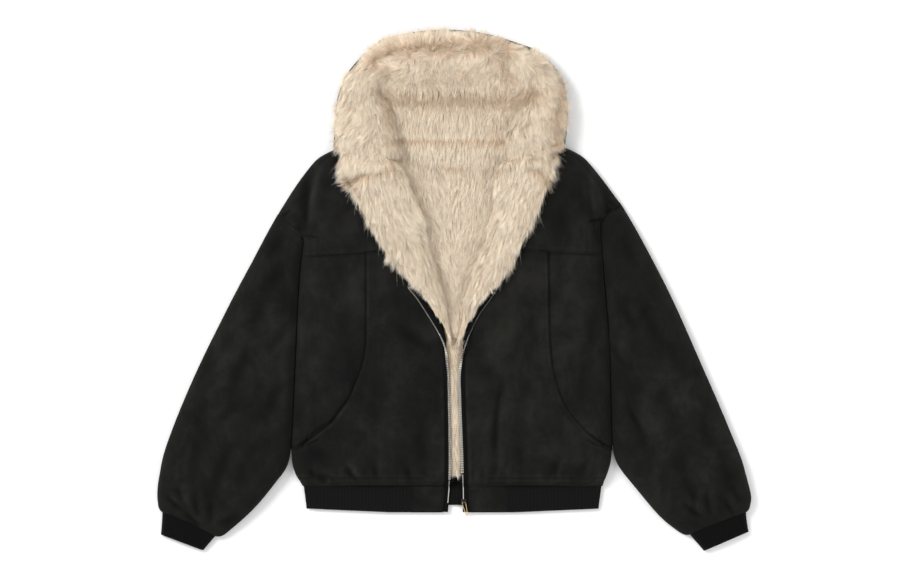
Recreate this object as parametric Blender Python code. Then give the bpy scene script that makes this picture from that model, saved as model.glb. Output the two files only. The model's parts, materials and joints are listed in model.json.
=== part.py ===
"""A hooded jacket of black suede cloth lined with long pale pile, laid flat with its front up.

The jacket lies on its back panel at Z = 0, with its hem towards -Y and its hood towards +Y.
X runs to the right as it is seen from above, and X = 0 is the line of the open front zip.
Tables give half the jacket in millimetres, with x counted outwards from the zip on either side.
"""
import math
from collections import namedtuple

import bmesh
import bpy
from mathutils import Vector

MM = 0.001

# ---------------------------------------------------------------- driving sizes, in millimetres

SEAM = 0.35            # clearance between two pieces that are sewn or lie on each other
SHELL = 2.5            # suede shell cloth with its interlining
BACK_PILE = 11.4       # lining cloth of the back, with its pile
FOLD_TUCK = 9.0        # height of the outermost point of a folded side edge
FRONT_BASE = 14.6      # height at which the fronts start, above the back and its lining
LINING_SKIRT = 1.6     # thickness that the front lining runs out to at the side
LINING_ROOM = 1.6      # room between a front's shell and its lining
EDGE_ROOM = 2.4        # more room round the lining inside a folded edge
LAPEL_ROOM = 1.0       # room under a turned-back front
LAP = 9.0              # width of the pocket mouth that lies over the side panel
LAP_FADE = 11.0        # distance in which the pocket mouth comes down again
SLEEVE_SLIT = 2.4      # free height left inside a flat sleeve or cuff
SLEEVE_WALL = 13.0     # sleeve cloth with its pile
SLEEVE_EDGE = 26.0     # width of the rounded edge of a flat sleeve
TUBE_WAIST = 0.38      # height of a tube's outermost points, as a share of its top
TUBE_TUCK = 0.45       # how far its flat bottom stands in, as a share of its rounded edge
TUBE_CROWN = 1.5       # how much a tube rises between its edges
CUFF_EDGE = 9.0        # width of the rounded edge of a flat cuff
CUFF_WALL = 5.0        # doubled rib knit of a cuff
RIB_PITCH = 3.5        # one rib of the knit
RIB_RISE = 0.9         # height of a rib
BAND = 4.5             # thickness of one side of the hem band
BAND_TOP = 10.0        # top of the front hem band
BACK_HEM_Y = -326.0    # seam between the back panel and its hem band
FRONT_HEM_Y = -331.5   # seam between the fronts and their hem band
NECK_Y = 260.0         # seam between the hood and the back
TAPE_WIDTH = 7.0
TAPE = 1.6
HOOD_RIM = 22.0        # height to which the hood's shell turns up round its edge
HOOD_CURL = 14.0       # width of that turned-up edge
HOOD_FLOOR = 19.0      # top of the low pile inside the hood

LEFT, RIGHT = -1, 1
SIDES = (("left", LEFT), ("right", RIGHT))

# ---------------------------------------------------------------- tables

# One row for each level of a front, from the hem up to the shoulder. A row runs from the
# outer edge to the inner edge. "round" and "tuck" are the widths of the folded edge above and
# below, "top" is the height of the cloth, and "fold_x" and "fold" place the trough where the
# dropped shoulder hangs down beside the body, and give its depth.
Row = namedtuple("Row", "edge_x edge_y in_x in_y round tuck top fold_x fold")
FRONT_ROWS = {
    LEFT: [
        Row(258.0, -331.5, 16.4, -331.5, 12, 6, 10.3, 258, 0),
        Row(262.0, -326.0, 16.2, -326.0, 16, 8, 18.5, 262, 0),
        Row(268.5, -318.0, 15.6, -318.0, 20, 8, 24.5, 268, 0),
        Row(273.5, -306.0, 15.2, -306.0, 24, 8, 28.0, 273, 0),
        Row(276.5, -294.0, 15.1, -294.0, 26, 8, 29.3, 276, 0),
        Row(277.5, -272.0, 15.1, -272.0, 26, 8, 29.5, 277, 0),
        Row(275.5, -232.0, 15.6, -232.0, 26, 8, 29.5, 275, 0),
        Row(273.5, -192.0, 16.4, -192.0, 26, 8, 29.5, 273, 0),
        Row(271.3, -144.0, 17.3, -144.0, 26, 8, 29.5, 271, 0),
        Row(270.0, -115.0, 17.8, -115.0, 26, 8, 29.5, 270, 0),
        Row(269.0, -92.0, 15.0, -92.0, 26, 8, 29.5, 269, 0),
        Row(267.6, -60.0, 19.0, -60.0, 26, 8, 29.5, 268, 0),
        Row(266.0, -20.0, 26.5, -16.0, 26, 8, 29.5, 266, 0),
        Row(262.5, 30.0, 46.5, 32.0, 26, 8, 29.5, 262, 0),
        Row(259.5, 58.0, 58.5, 70.0, 26, 8, 29.5, 259, 0),
        Row(255.0, 88.0, 65.0, 92.0, 22, 8, 28.5, 255, 0),
        Row(259.0, 91.6, 66.5, 99.0, 3, 3, 24.5, 254, 3),
        Row(296.0, 125.4, 74.0, 124.0, 3, 3, 25.0, 248, 7),
        Row(300.0, 129.0, 77.0, 131.0, 16, 8, 26.0, 247, 7),
        Row(281.0, 160.0, 86.5, 156.0, 16, 8, 27.0, 242, 6),
        Row(263.0, 187.0, 101.0, 184.0, 14, 8, 27.5, 238, 4),
        Row(242.0, 214.0, 107.0, 200.0, 12, 8, 27.5, 234, 1),
        Row(230.4, 226.0, 109.5, 207.0, 11, 8, 27.5, 232, 0),
        Row(205.7, 236.6, 111.0, 213.9, 10, 8, 27.5, 206, 0),
    ],
    RIGHT: [
        Row(251.6, -331.5, 22.9, -331.5, 12, 6, 10.3, 251, 0),
        Row(254.0, -326.0, 22.6, -326.0, 16, 8, 18.5, 254, 0),
        Row(258.0, -318.0, 22.2, -318.0, 20, 8, 24.5, 258, 0),
        Row(262.5, -306.0, 21.8, -306.0, 24, 8, 28.0, 262, 0),
        Row(266.0, -294.0, 21.4, -294.0, 26, 8, 29.3, 266, 0),
        Row(268.0, -272.0, 20.8, -272.0, 26, 8, 29.5, 268, 0),
        Row(267.0, -232.0, 19.3, -232.0, 26, 8, 29.5, 267, 0),
        Row(266.0, -192.0, 17.8, -192.0, 26, 8, 29.5, 266, 0),
        Row(265.3, -144.0, 16.6, -144.0, 26, 8, 29.5, 265, 0),
        Row(264.6, -115.0, 18.0, -115.0, 26, 8, 29.5, 264, 0),
        Row(264.0, -92.0, 17.6, -92.0, 26, 8, 29.5, 264, 0),
        Row(261.4, -60.0, 20.5, -60.0, 26, 8, 29.5, 261, 0),
        Row(257.5, -20.0, 28.5, -18.0, 26, 8, 29.5, 257, 0),
        Row(253.5, 30.0, 46.5, 30.0, 26, 8, 29.5, 253, 0),
        Row(251.3, 61.0, 65.5, 70.0, 26, 8, 29.5, 251, 0),
        Row(247.4, 115.6, 76.0, 112.0, 22, 8, 28.5, 247, 0),
        Row(251.4, 119.2, 77.5, 117.0, 3, 3, 24.5, 246, 3),
        Row(278.0, 143.4, 82.5, 138.0, 3, 3, 25.0, 243, 7),
        Row(282.0, 147.0, 83.5, 143.0, 16, 8, 26.0, 242, 7),
        Row(262.7, 173.0, 89.0, 168.0, 14, 8, 27.0, 238, 6),
        Row(247.4, 193.8, 91.5, 186.0, 14, 8, 27.5, 234, 3),
        Row(230.4, 214.0, 93.5, 202.0, 12, 8, 27.5, 231, 0),
        Row(218.5, 228.0, 95.0, 209.0, 11, 8, 27.5, 219, 0),
        Row(187.0, 241.6, 96.0, 216.4, 10, 8, 27.5, 187, 0),
    ],
}
YOKE_ROW = 14          # the row of the yoke seam
TOP_ROW = 23           # the row along the hood
CROWN = 2.6            # how much a front rises between its edges
CHEST_TOP = 29.5       # height of a front inside its shoulder
CHEST_FADE = 45.0      # distance in which the shoulder rises to that height
FOLD_INSIDE = 7.0      # width of the dropped shoulder's trough towards the body
FOLD_OUTSIDE = 16.0    # and towards the sleeve
TUCK_SHARE = 0.45      # height of a folded edge's outermost point, as a share of its top

# The pocket mouth: the seam between the side panel and the centre panel, from the yoke
# down and out to the folded side. "row" is a place between the rows above.
Seam = namedtuple("Seam", "row x")
POCKET_SEAM = {
    LEFT: [Seam(14, 150.5), Seam(10, 150.5), Seam(9.2, 153.5), Seam(8.5, 157.5), Seam(8, 163.5),
           Seam(7.4, 174), Seam(7, 185.5), Seam(6.7, 194), Seam(6.4, 203), Seam(6.1, 213),
           Seam(5.75, 231), Seam(5.45, 247), Seam(5.2, 260)],
    RIGHT: [Seam(14, 158.0), Seam(10, 161.5), Seam(9.2, 164), Seam(8.5, 165.5), Seam(8, 168),
            Seam(7.4, 176), Seam(7, 184.5), Seam(6.7, 192), Seam(6.4, 201), Seam(6.1, 212),
            Seam(5.75, 226), Seam(5.45, 241), Seam(5.2, 253)],
}
SIDE_SEAM_ROW = 4.9    # where the pocket mouth reaches the side seam, under the fold
LAP_ROWS = 0.35        # rows in which the pocket mouth rises from there to its full height
YOKE_GAP = 0.012       # clearance under the yoke seam, as a share of a row
MOUTH_GAP = 0.14       # clearance beside the pocket mouth on the folded edge, in steps of c

# Rings of a sleeve from the armhole to the cuff, each from the body side to the outer side.
Ring = namedtuple("Ring", "in_x in_y out_x out_y top")
SLEEVE_RINGS = {
    LEFT: [
        Ring(255.3, 87.7, 300.3, 128.7, 25.0), Ring(260.5, 58.0, 320.5, 92.0, 27.5),
        Ring(264.5, 25.0, 343.0, 48.0, 30.0), Ring(267.2, -20.0, 371.5, -3.4, 31.5),
        Ring(269.0, -60.0, 398.7, -58.0, 32.0), Ring(271.2, -110.0, 425.9, -112.0, 32.5),
        Ring(273.6, -165.0, 451.0, -167.0, 33.0), Ring(276.4, -225.0, 473.5, -221.0, 33.0),
        Ring(279.0, -280.0, 488.8, -262.0, 33.0), Ring(284.5, -302.0, 497.0, -289.0, 33.0),
        Ring(303.5, -324.7, 500.5, -311.0, 32.5), Ring(324.0, -352.0, 503.7, -328.0, 31.5),
        Ring(344.0, -374.0, 504.6, -340.0, 30.0), Ring(364.7, -392.7, 504.9, -352.0, 27.5),
        Ring(385.0, -409.7, 503.5, -362.0, 22.0), Ring(397.0, -417.0, 500.6, -370.6, 15.5),
    ],
    RIGHT: [
        Ring(247.7, 115.3, 282.3, 146.7, 25.0), Ring(250.6, 88.0, 306.9, 105.4, 27.5),
        Ring(254.0, 47.6, 329.0, 64.6, 30.0), Ring(257.2, 0.0, 357.9, 10.0, 31.5),
        Ring(262.4, -58.0, 383.4, -44.0, 32.0), Ring(265.6, -112.0, 407.0, -98.6, 32.5),
        Ring(266.7, -167.0, 431.0, -153.0, 33.0), Ring(268.0, -221.0, 454.8, -207.0, 33.0),
        Ring(269.0, -272.0, 474.3, -255.0, 33.0), Ring(276.0, -296.0, 488.8, -289.0, 33.0),
        Ring(295.0, -319.6, 493.9, -309.0, 32.5), Ring(315.0, -343.4, 499.0, -328.0, 31.5),
        Ring(337.5, -371.5, 502.4, -341.7, 30.0), Ring(358.0, -392.7, 504.9, -353.6, 27.5),
        Ring(378.0, -407.0, 502.4, -363.8, 22.0), Ring(391.5, -414.0, 499.8, -370.6, 15.5),
    ],
}
# Gathers where a sleeve is drawn into its cuff: "across" counts from 0 at the body side
# to 1 at the outer side, and "rings" is how many rings the gather runs up the sleeve.
Gather = namedtuple("Gather", "across width depth rings")
GATHERS = [Gather(0.20, 0.045, 5.0, 3), Gather(0.36, 0.040, 4.0, 2),
           Gather(0.52, 0.050, 6.0, 4), Gather(0.68, 0.040, 4.0, 2),
           Gather(0.83, 0.045, 5.5, 3)]
CUFF_RINGS = {
    LEFT: [Ring(403.0, -415.2, 497.6, -372.8, 14.5), Ring(411.0, -424.0, 498.2, -388.0, 14.5),
           Ring(425.6, -441.4, 499.8, -413.0, 13.5), Ring(427.4, -443.6, 500.6, -416.2, 10.0)],
    RIGHT: [Ring(397.6, -412.0, 496.8, -372.6, 14.5), Ring(406.0, -424.0, 497.4, -388.0, 14.5),
            Ring(422.6, -441.6, 500.6, -408.0, 13.5), Ring(424.2, -444.6, 501.6, -411.2, 10.0)],
}

# The line of zip teeth on each front. "turn" is how far the tape has rolled over, in degrees:
# 0 where it lies flat beside its front, 180 where the front is turned back and shows its inside.
Zip = namedtuple("Zip", "x y z turn")
ZIP_LINE = {
    LEFT: [Zip(12.0, -378.0, 7.4, 0), Zip(9.0, -341.0, 7.4, 0), Zip(8.8, -334.0, 8.4, 0),
           Zip(8.6, -326.0, 16.8, 0), Zip(8.1, -318.0, 23.0, 0), Zip(7.7, -306.0, 26.6, 0),
           Zip(7.6, -272.0, 27.8, 0), Zip(8.9, -192.0, 27.8, 0), Zip(10.0, -144.0, 28.6, 0),
           Zip(12.3, -115.0, 33.5, 50), Zip(15.6, -95.0, 37.2, 105), Zip(20.8, -80.0, 36.0, 140),
           Zip(30.6, -62.0, 32.8, 180), Zip(45.0, -39.0, 31.6, 180), Zip(61.7, -13.6, 31.8, 180),
           Zip(77.0, 5.0, 32.0, 180)],
    RIGHT: [Zip(16.2, -378.0, 7.4, 0), Zip(15.5, -341.0, 7.4, 0), Zip(15.3, -334.0, 8.4, 0),
            Zip(15.0, -326.0, 16.8, 0), Zip(14.7, -318.0, 23.0, 0), Zip(14.3, -306.0, 26.6, 0),
            Zip(13.3, -272.0, 27.8, 0), Zip(10.3, -192.0, 27.8, 0), Zip(9.3, -144.0, 28.6, 0),
            Zip(12.6, -115.0, 33.5, 50), Zip(17.2, -97.0, 37.2, 105), Zip(21.8, -82.0, 36.0, 140),
            Zip(29.5, -64.0, 32.8, 180), Zip(40.5, -42.0, 31.6, 180), Zip(54.5, -22.0, 31.8, 180),
            Zip(69.0, -3.0, 32.0, 180)],
}

# The turned-back fronts and the hood: the outer edge, the rolled inner edge and the height.
Roll = namedtuple("Roll", "out_x out_y in_x in_y top")
LAPEL_ROLL = {
    LEFT: [
        Roll(10.5, -92.0, 5.5, -90.0, 36), Roll(17.0, -72.0, 8.0, -66.0, 39),
        Roll(28.5, -50.0, 12.0, -38.0, 42), Roll(42.5, -28.0, 17.5, -18.0, 44),
        Roll(56.0, -10.0, 26.5, 2.0, 46), Roll(87.5, 24.0, 38.0, 32.0, 47),
        Roll(110.0, 49.0, 47.0, 60.0, 48), Roll(133.0, 80.0, 56.0, 96.0, 49),
        Roll(156.0, 126.0, 66.0, 128.0, 49), Roll(173.0, 151.0, 77.0, 157.0, 49),
        Roll(191.0, 179.0, 91.0, 184.0, 49), Roll(202.0, 206.0, 97.0, 198.0, 49),
        Roll(204.5, 224.5, 99.5, 206.0, 48), Roll(193.5, 233.7, 101.0, 211.6, 47),
    ],
    RIGHT: [
        Roll(12.2, -92.0, 8.0, -90.0, 36), Roll(18.0, -70.0, 10.0, -64.0, 39),
        Roll(28.0, -50.0, 13.0, -42.0, 42), Roll(41.0, -30.0, 17.0, -24.0, 44),
        Roll(56.0, -9.0, 22.5, -4.0, 46), Roll(87.0, 23.0, 34.0, 22.0, 47),
        Roll(105.0, 52.0, 46.0, 48.0, 48), Roll(126.0, 84.0, 58.5, 82.0, 49),
        Roll(148.8, 134.0, 71.0, 128.0, 49), Roll(160.7, 165.0, 78.0, 156.0, 49),
        Roll(171.0, 188.0, 81.0, 182.0, 49), Roll(177.0, 212.0, 84.0, 200.0, 49),
        Roll(182.0, 229.0, 85.0, 207.5, 48), Roll(175.5, 238.4, 86.0, 213.6, 47),
    ],
}
HOOD_ROLL = {
    LEFT: [Roll(205.7, 237.0, 101.0, 212.0, 48), Roll(205.0, 279.0, 103.0, 262.0, 54),
           Roll(201.5, 326.0, 113.0, 291.0, 56), Roll(186.0, 367.0, 124.0, 318.0, 55),
           Roll(159.0, 398.0, 124.0, 340.0, 52), Roll(126.7, 425.0, 114.0, 353.0, 48)],
    RIGHT: [Roll(187.0, 242.0, 86.0, 214.0, 48), Roll(192.0, 268.0, 96.0, 258.0, 53),
            Roll(193.5, 303.0, 111.0, 288.0, 56), Roll(190.0, 345.0, 127.0, 314.0, 55),
            Roll(172.0, 384.0, 132.0, 338.0, 52), Roll(133.5, 411.0, 117.0, 352.0, 48)],
}
# The crown of the hood, between the ends of the two rolls, with x counted to the right.
CROWN_ROLL = [Roll(-70.5, 441.0, -66.0, 355.0, 46), Roll(0.0, 444.6, -1.0, 356.0, 45),
              Roll(63.8, 436.0, 60.0, 356.0, 46)]

# The slider at the foot of the right zip, and its pull tab.
SLIDER_Y = -361.0
SLIDER = {"width": 9.0, "length": 10.0, "plate": 1.2, "slot": 2.3, "spine": 4.2}
BRIDGE = {"half_width": 1.1, "half_length": 4.2, "post": 1.2, "clear": 2.5, "beam": 1.2}
PULL = {"half_width": 3.8, "hole": 2.2, "arm": 1.2, "near": 5.2, "length": 23.5,
        "thick": 1.4, "yaw": math.radians(12), "bar": 0.7}

# ---------------------------------------------------------------- scene and materials

for old in list(bpy.data.objects):
    bpy.data.objects.remove(old, do_unlink=True)

jacket = bpy.data.collections.new("hooded_jacket")
bpy.context.scene.collection.children.link(jacket)


def finish(name, color, roughness, metallic=0.0):
    """Make a plain material for one kind of cloth or metal."""
    material = bpy.data.materials.new(name)
    material.use_nodes = True
    shader = material.node_tree.nodes["Principled BSDF"]
    shader.inputs["Base Color"].default_value = (*color, 1.0)
    shader.inputs["Roughness"].default_value = roughness
    shader.inputs["Metallic"].default_value = metallic
    material.diffuse_color = (*color, 1.0)
    return material


SUEDE = finish("black_suede", (0.012, 0.012, 0.010), 0.9)
RIB = finish("black_rib_knit", (0.010, 0.011, 0.012), 0.85)
PILE = finish("beige_pile", (0.70, 0.58, 0.43), 0.95)
TWILL = finish("black_zip_tape", (0.008, 0.008, 0.008), 0.8)
STEEL = finish("grey_metal", (0.45, 0.45, 0.45), 0.35, 1.0)
BRASS = finish("pale_brass", (0.60, 0.44, 0.20), 0.35, 1.0)


# ---------------------------------------------------------------- small geometry helpers

def mix(a, b, t):
    return a + (b - a) * t


def blend_rows(first, second, t):
    """Interpolate every column of two rows of a table."""
    return type(first)(*(mix(a, b, t) for a, b in zip(first, second)))


def place(side, x, y, z):
    """Turn a point of half the jacket, in millimetres, into a point of the scene."""
    return Vector((side * x, y, z)) * MM


def add_object(name, mesh, material):
    obj = bpy.data.objects.new(name, mesh)
    mesh.materials.append(material)
    jacket.objects.link(obj)
    return obj


def finish_mesh(name, bm, material):
    """Close a built mesh into a named object with its faces pointing out."""
    bmesh.ops.recalc_face_normals(bm, faces=bm.faces[:])
    mesh = bpy.data.meshes.new(name)
    bm.to_mesh(mesh)
    bm.free()
    mesh.shade_smooth()
    mesh.set_sharp_from_angle(angle=math.radians(40))
    return add_object(name, mesh, material)


def sheet_solid(name, upper, lower, material):
    """Loft one closed sheet between two grids of points with the same rows and columns."""
    bm = bmesh.new()
    top = [[bm.verts.new(p) for p in row] for row in upper]
    low = [[bm.verts.new(p) for p in row] for row in lower]
    rows, columns = len(top), len(top[0])
    for r in range(rows - 1):
        for c in range(columns - 1):
            bm.faces.new((top[r][c], top[r][c + 1], top[r + 1][c + 1], top[r + 1][c]))
            bm.faces.new((low[r][c], low[r + 1][c], low[r + 1][c + 1], low[r][c + 1]))
    rim = [(0, c) for c in range(columns)]
    rim += [(r, columns - 1) for r in range(1, rows)]
    rim += [(rows - 1, c) for c in range(columns - 2, -1, -1)]
    rim += [(r, 0) for r in range(rows - 2, 0, -1)]
    for (r0, c0), (r1, c1) in zip(rim, rim[1:] + rim[:1]):
        bm.faces.new((top[r0][c0], low[r0][c0], low[r1][c1], top[r1][c1]))
    return finish_mesh(name, bm, material)


def ring_solid(name, rings, material, inner=None):
    """Loft closed rings of points into a solid, or into a tube where inner rings are given."""
    bm = bmesh.new()
    outer = [[bm.verts.new(p) for p in ring] for ring in rings]
    bridge_rings(bm, outer)
    if inner is None:
        bm.faces.new(outer[0])
        bm.faces.new(outer[-1])
        return finish_mesh(name, bm, material)
    hollow = [[bm.verts.new(p) for p in ring] for ring in inner]
    bridge_rings(bm, hollow)
    for end in (0, -1):
        bridge_rings(bm, (outer[end], hollow[end]))
    return finish_mesh(name, bm, material)


def bridge_rings(bm, rings):
    count = len(rings[0])
    for first, second in zip(rings, rings[1:]):
        for i in range(count):
            j = (i + 1) % count
            bm.faces.new((first[i], first[j], second[j], second[i]))


def flat_piece(name, outline, z_low, z_high, material):
    """Cut a flat piece as a filled 2D curve with half its thickness as extrude."""
    curve = bpy.data.curves.new(name, "CURVE")
    curve.dimensions = "2D"
    curve.fill_mode = "BOTH"
    curve.extrude = (z_high - z_low) / 2 * MM
    spline = curve.splines.new("POLY")
    spline.points.add(len(outline) - 1)
    for point, (x, y) in zip(spline.points, outline):
        point.co = (x * MM, y * MM, 0, 1)
    spline.use_cyclic_u = True
    curve.materials.append(material)
    obj = bpy.data.objects.new(name, curve)
    obj.location.z = (z_low + z_high) / 2 * MM
    jacket.objects.link(obj)
    return obj


# ---------------------------------------------------------------- the form of the fronts

def row_at(side, r):
    """The front's row at a place between two rows of the table."""
    rows = FRONT_ROWS[side]
    i = min(int(r), len(rows) - 2)
    return blend_rows(rows[i], rows[i + 1], r - i)


def row_span(row):
    """The unit direction of a row from its outer to its inner edge, and its length."""
    dx, dy = row.in_x - row.edge_x, row.in_y - row.edge_y
    length = math.hypot(dx, dy)
    return dx / length, dy / length, length


def row_point(row, distance):
    ux, uy, _ = row_span(row)
    return row.edge_x + ux * distance, row.edge_y + uy * distance


def row_top(row, distance):
    """The height of the outside of the shell at a distance in from the edge."""
    ux, _, length = row_span(row)
    share = (distance - row.round) / (length - row.round)
    height = row.top + CROWN * math.sin(math.pi * min(max(share, 0.0), 1.0))
    if row.in_y > 0:
        height += (CHEST_TOP - row.top) * min(max((distance - row.round) / CHEST_FADE, 0.0), 1.0)
    past_fold = distance - (row.edge_x - row.fold_x) / -ux
    width = FOLD_INSIDE if past_fold > 0 else FOLD_OUTSIDE
    return height - row.fold * math.exp(-(past_fold / width) ** 2)


def edge_rise(row):
    """The height of the outermost point of a row's folded edge."""
    return min(FOLD_TUCK, row.top * TUCK_SHARE)


def front_point(side, r, c, depth=0.0):
    """A point of the front, "depth" under its outside.

    c runs from 0 at the side seam, under the fold, to 1 at the outermost point and 2 where
    the fold ends. From there on c - 2 is the distance towards the inner edge.
    """
    row = row_at(side, r)
    rise = edge_rise(row)
    if c < 1.0:
        angle = c * math.pi / 2
        distance = row.tuck - (row.tuck - depth) * math.sin(angle)
        z = rise - (rise - depth) * math.cos(angle)
    elif c < 2.0:
        angle = (c - 1.0) * math.pi / 2
        distance = row.round - (row.round - depth) * math.cos(angle)
        z = rise + (row_top(row, row.round) - rise - depth) * math.sin(angle)
    else:
        distance = row.round + (c - 2.0)
        z = row_top(row, distance) - depth
    x, y = row_point(row, distance)
    return x, y, z


def front_inner(side, r):
    """The value of c at the inner edge of a row."""
    row = row_at(side, r)
    return 2.0 + row_span(row)[2] - row.round


def c_at_x(side, r, x):
    """The value of c where a row crosses a distance x from the zip."""
    row = row_at(side, r)
    distance = (row.edge_x - x) / -row_span(row)[0]
    if distance >= row.round:
        return 2.0 + distance - row.round
    share = max(row.round - distance, 0.0) / row.round
    return 1.0 + math.acos(min(share, 1.0)) / (math.pi / 2)


def front_height(side, x, y):
    """The height of the outside of the front over a point of the plan."""
    low, high = 0.0, float(TOP_ROW)
    for _ in range(30):
        r = (low + high) / 2
        row = row_at(side, r)
        ux, uy, _ = row_span(row)
        above = uy * (x - row.edge_x) - ux * (y - row.edge_y)
        low, high = (r, high) if above > 0 else (low, r)
    row = row_at(side, r)
    ux, uy, _ = row_span(row)
    distance = (x - row.edge_x) * ux + (y - row.edge_y) * uy
    if distance >= row.round:
        return row_top(row, distance)
    share = (row.round - max(distance, 0.0)) / row.round
    rise = edge_rise(row)
    return rise + (row_top(row, row.round) - rise) * math.sqrt(1 - share ** 2)


def front_edge_x(side, y):
    """How far the inner edge of the front's shell lies from the zip line at a level."""
    rows = FRONT_ROWS[side]
    for first, second in zip(rows, rows[1:]):
        if y <= second.in_y:
            break
    t = (y - first.in_y) / (second.in_y - first.in_y)
    return mix(first.in_x, second.in_x, t)


EDGE_STEPS = [0.0, 0.5, 1.0, 1.35, 1.7, 2.0]      # columns round the folded edge
LAP_SHARES = [0.0, 0.2, 0.45, 0.62, 0.8, 1.0]     # columns across the pocket mouth's ridge


def seam_x(side, r):
    """How far the pocket mouth lies from the zip line at a row."""
    seam = POCKET_SEAM[side]
    for first, second in zip(seam, seam[1:]):
        if second.row <= r <= first.row:
            return mix(first.x, second.x, (r - first.row) / (second.row - first.row))
    return None


# ---------------------------------------------------------------- panels of the fronts

def panel(name, side, rows, columns_at, lift_at=None):
    """Loft a piece of shell over the front's form, between given rows and columns."""
    upper, lower = [], []
    for r in rows:
        top, low = [], []
        for c in columns_at(r):
            lift = lift_at(r, c) if lift_at else 0.0
            x, y, z = front_point(side, r, c)
            top.append(place(side, x, y, z + lift))
            x, y, z = front_point(side, r, c, SHELL)
            low.append(place(side, x, y, z + lift))
        upper.append(top)
        lower.append(low)
    return sheet_solid(name, upper, lower, SUEDE)


def spread(first, last, count):
    return [mix(first, last, i / (count - 1)) for i in range(count)]


def mouth_c(side, r):
    """The value of c along the pocket mouth, which runs on round the folded side."""
    last = POCKET_SEAM[side][-1]
    if r >= last.row:
        return c_at_x(side, r, seam_x(side, r))
    share = (r - SIDE_SEAM_ROW) / (last.row - SIDE_SEAM_ROW)
    return max(share, 0.0) * c_at_x(side, last.row, last.x)


def make_centre_panel(label, side):
    """The large centre panel, whose rolled outer edge is the pocket mouth."""
    mouth_rows = [14, 12.5, 11, 10, 9.2, 8.5, 8, 7.4, 7, 6.7, 6.4, 6.1, 5.75, 5.45, 5.2]
    rows = [r - YOKE_GAP if r == YOKE_ROW else r for r in mouth_rows]
    rows += [5.05, 4.9, 4.4, 4, 3, 2, 1, 0.5, 0]

    def start(r):
        return mouth_c(side, r) if r > SIDE_SEAM_ROW else 0.0

    def columns(r):
        first, last = start(r), front_inner(side, r)
        near = EDGE_STEPS if first < 0.01 else spread(first, 2.0, 6)
        if first > 2.0:
            near = [first + (LAP + LAP_FADE) * share for share in LAP_SHARES]
        return near + spread(near[-1], last, 7)[1:]

    def lift(r, c):
        if r < SIDE_SEAM_ROW:
            return 0.0
        away = min(max((c - start(r) - LAP) / LAP_FADE, 0.0), 1.0)
        fade = min(1.0, (r - SIDE_SEAM_ROW) / LAP_ROWS)
        return (SHELL + SEAM) * fade * (1 - away * away * (3 - 2 * away))

    panel("front_centre_" + label, side, rows, columns, lift)


def make_side_panel(label, side):
    """The narrow side panel that runs in under the pocket mouth."""
    rows = [YOKE_ROW - YOKE_GAP, 13, 12, 11, 10, 9.2, 9, 8.5, 8, 7.4, 7, 6.7, 6.4, 6.1, 5.75]
    rows += [5.45, 5.2, 5.05, 4.95]

    def columns(r):
        end = mouth_c(side, r) - MOUTH_GAP
        if end > 2.0:
            end += LAP - 2.0 if r > 5.5 else 2.0
        fold = min(1.0, 0.48 * end)
        return [step * fold for step in EDGE_STEPS] + spread(2.0 * fold, end, 6)[1:]

    panel("front_side_" + label, side, rows, columns)


def make_yoke(label, side):
    """The shoulder yoke, with the dropped shoulder outside its fold."""
    rows = [YOKE_ROW, 14.5, 15, 16, 16.4, 16.75, 17, 18, 19, 20, 21, 22, TOP_ROW]

    def columns(r):
        row = row_at(side, r)
        last = front_inner(side, r)
        fold = max(c_at_x(side, r, row.fold_x), 2.0)
        steps = []
        for offset in (-16, -4, 7, 18):
            floor = (steps[-1] if steps else 2.0) + 2.0
            steps.append(max(fold + offset, floor))
        return EDGE_STEPS + steps + spread(steps[-1], last, 5)[1:]

    panel("yoke_" + label, side, rows, columns)


def make_front_lining(label, side):
    """The pile lining of a front, from the hem up to the hood."""
    depth = SHELL + LINING_ROOM
    rows = [2, 3, 4, 6, 8, 10, 11, 12, 13, 14, 15, 16, 17, 18, 19, 20, 21, 22, TOP_ROW]
    upper, lower = [], []
    for r in rows:
        row = row_at(side, r)
        rise = edge_rise(row)
        room = row_top(row, row.round) - rise - depth - EDGE_ROOM
        share = min((FRONT_BASE + LINING_SKIRT - rise) / room, 0.96)
        start = 1.0 + math.asin(share) / (math.pi / 2)
        last = front_inner(side, r)
        fold = max(c_at_x(side, r, row.fold_x), 2.0)
        middle = []
        for offset in (-4, 7):
            floor = (middle[-1] if middle else 2.0) + 2.0
            middle.append(max(fold + offset, floor))
        columns = [start, (start + 2) / 2, 2.0] + middle + spread(middle[-1], last, 6)[1:]
        points = [front_point(side, r, c, depth + (EDGE_ROOM if c <= 2 else 0)) for c in columns]
        upper.append([place(side, *p) for p in points])
        lower.append([place(side, x, y, FRONT_BASE) for x, y, _ in points])
    return sheet_solid("front_lining_" + label, upper, lower, PILE)


# ---------------------------------------------------------------- the back

def side_outline(side, inset, first_row):
    """Points of the back's outline on one side, from the hem up to the hood."""
    points = []
    rows = FRONT_ROWS[side]
    for r in range(first_row, len(rows)):
        x, y = row_point(rows[r], rows[r].tuck + inset)
        points.append((side * x, y))
    end = LAPEL_ROLL[side][-1]
    points.append((side * (end.in_x - SEAM), end.in_y))
    points.append((side * (end.in_x - SEAM), NECK_Y))
    return points


def make_back():
    """The back panel, which lies on the floor, with its lining and hem band."""
    left = side_outline(LEFT, SEAM, 1)
    right = side_outline(RIGHT, SEAM, 1)
    flat_piece("back_panel", left + right[::-1], 0.0, SHELL, SUEDE)

    low = SHELL + SEAM
    halves = []
    for side in (LEFT, RIGHT):
        foot = FRONT_ROWS[side][2]
        corner = (side * (foot.edge_x - foot.round - 2), BACK_HEM_Y + 4)
        halves.append([corner] + side_outline(side, 1.8, 3))
    flat_piece("back_lining", halves[0] + halves[1][::-1], low, low + BACK_PILE, PILE)


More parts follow.
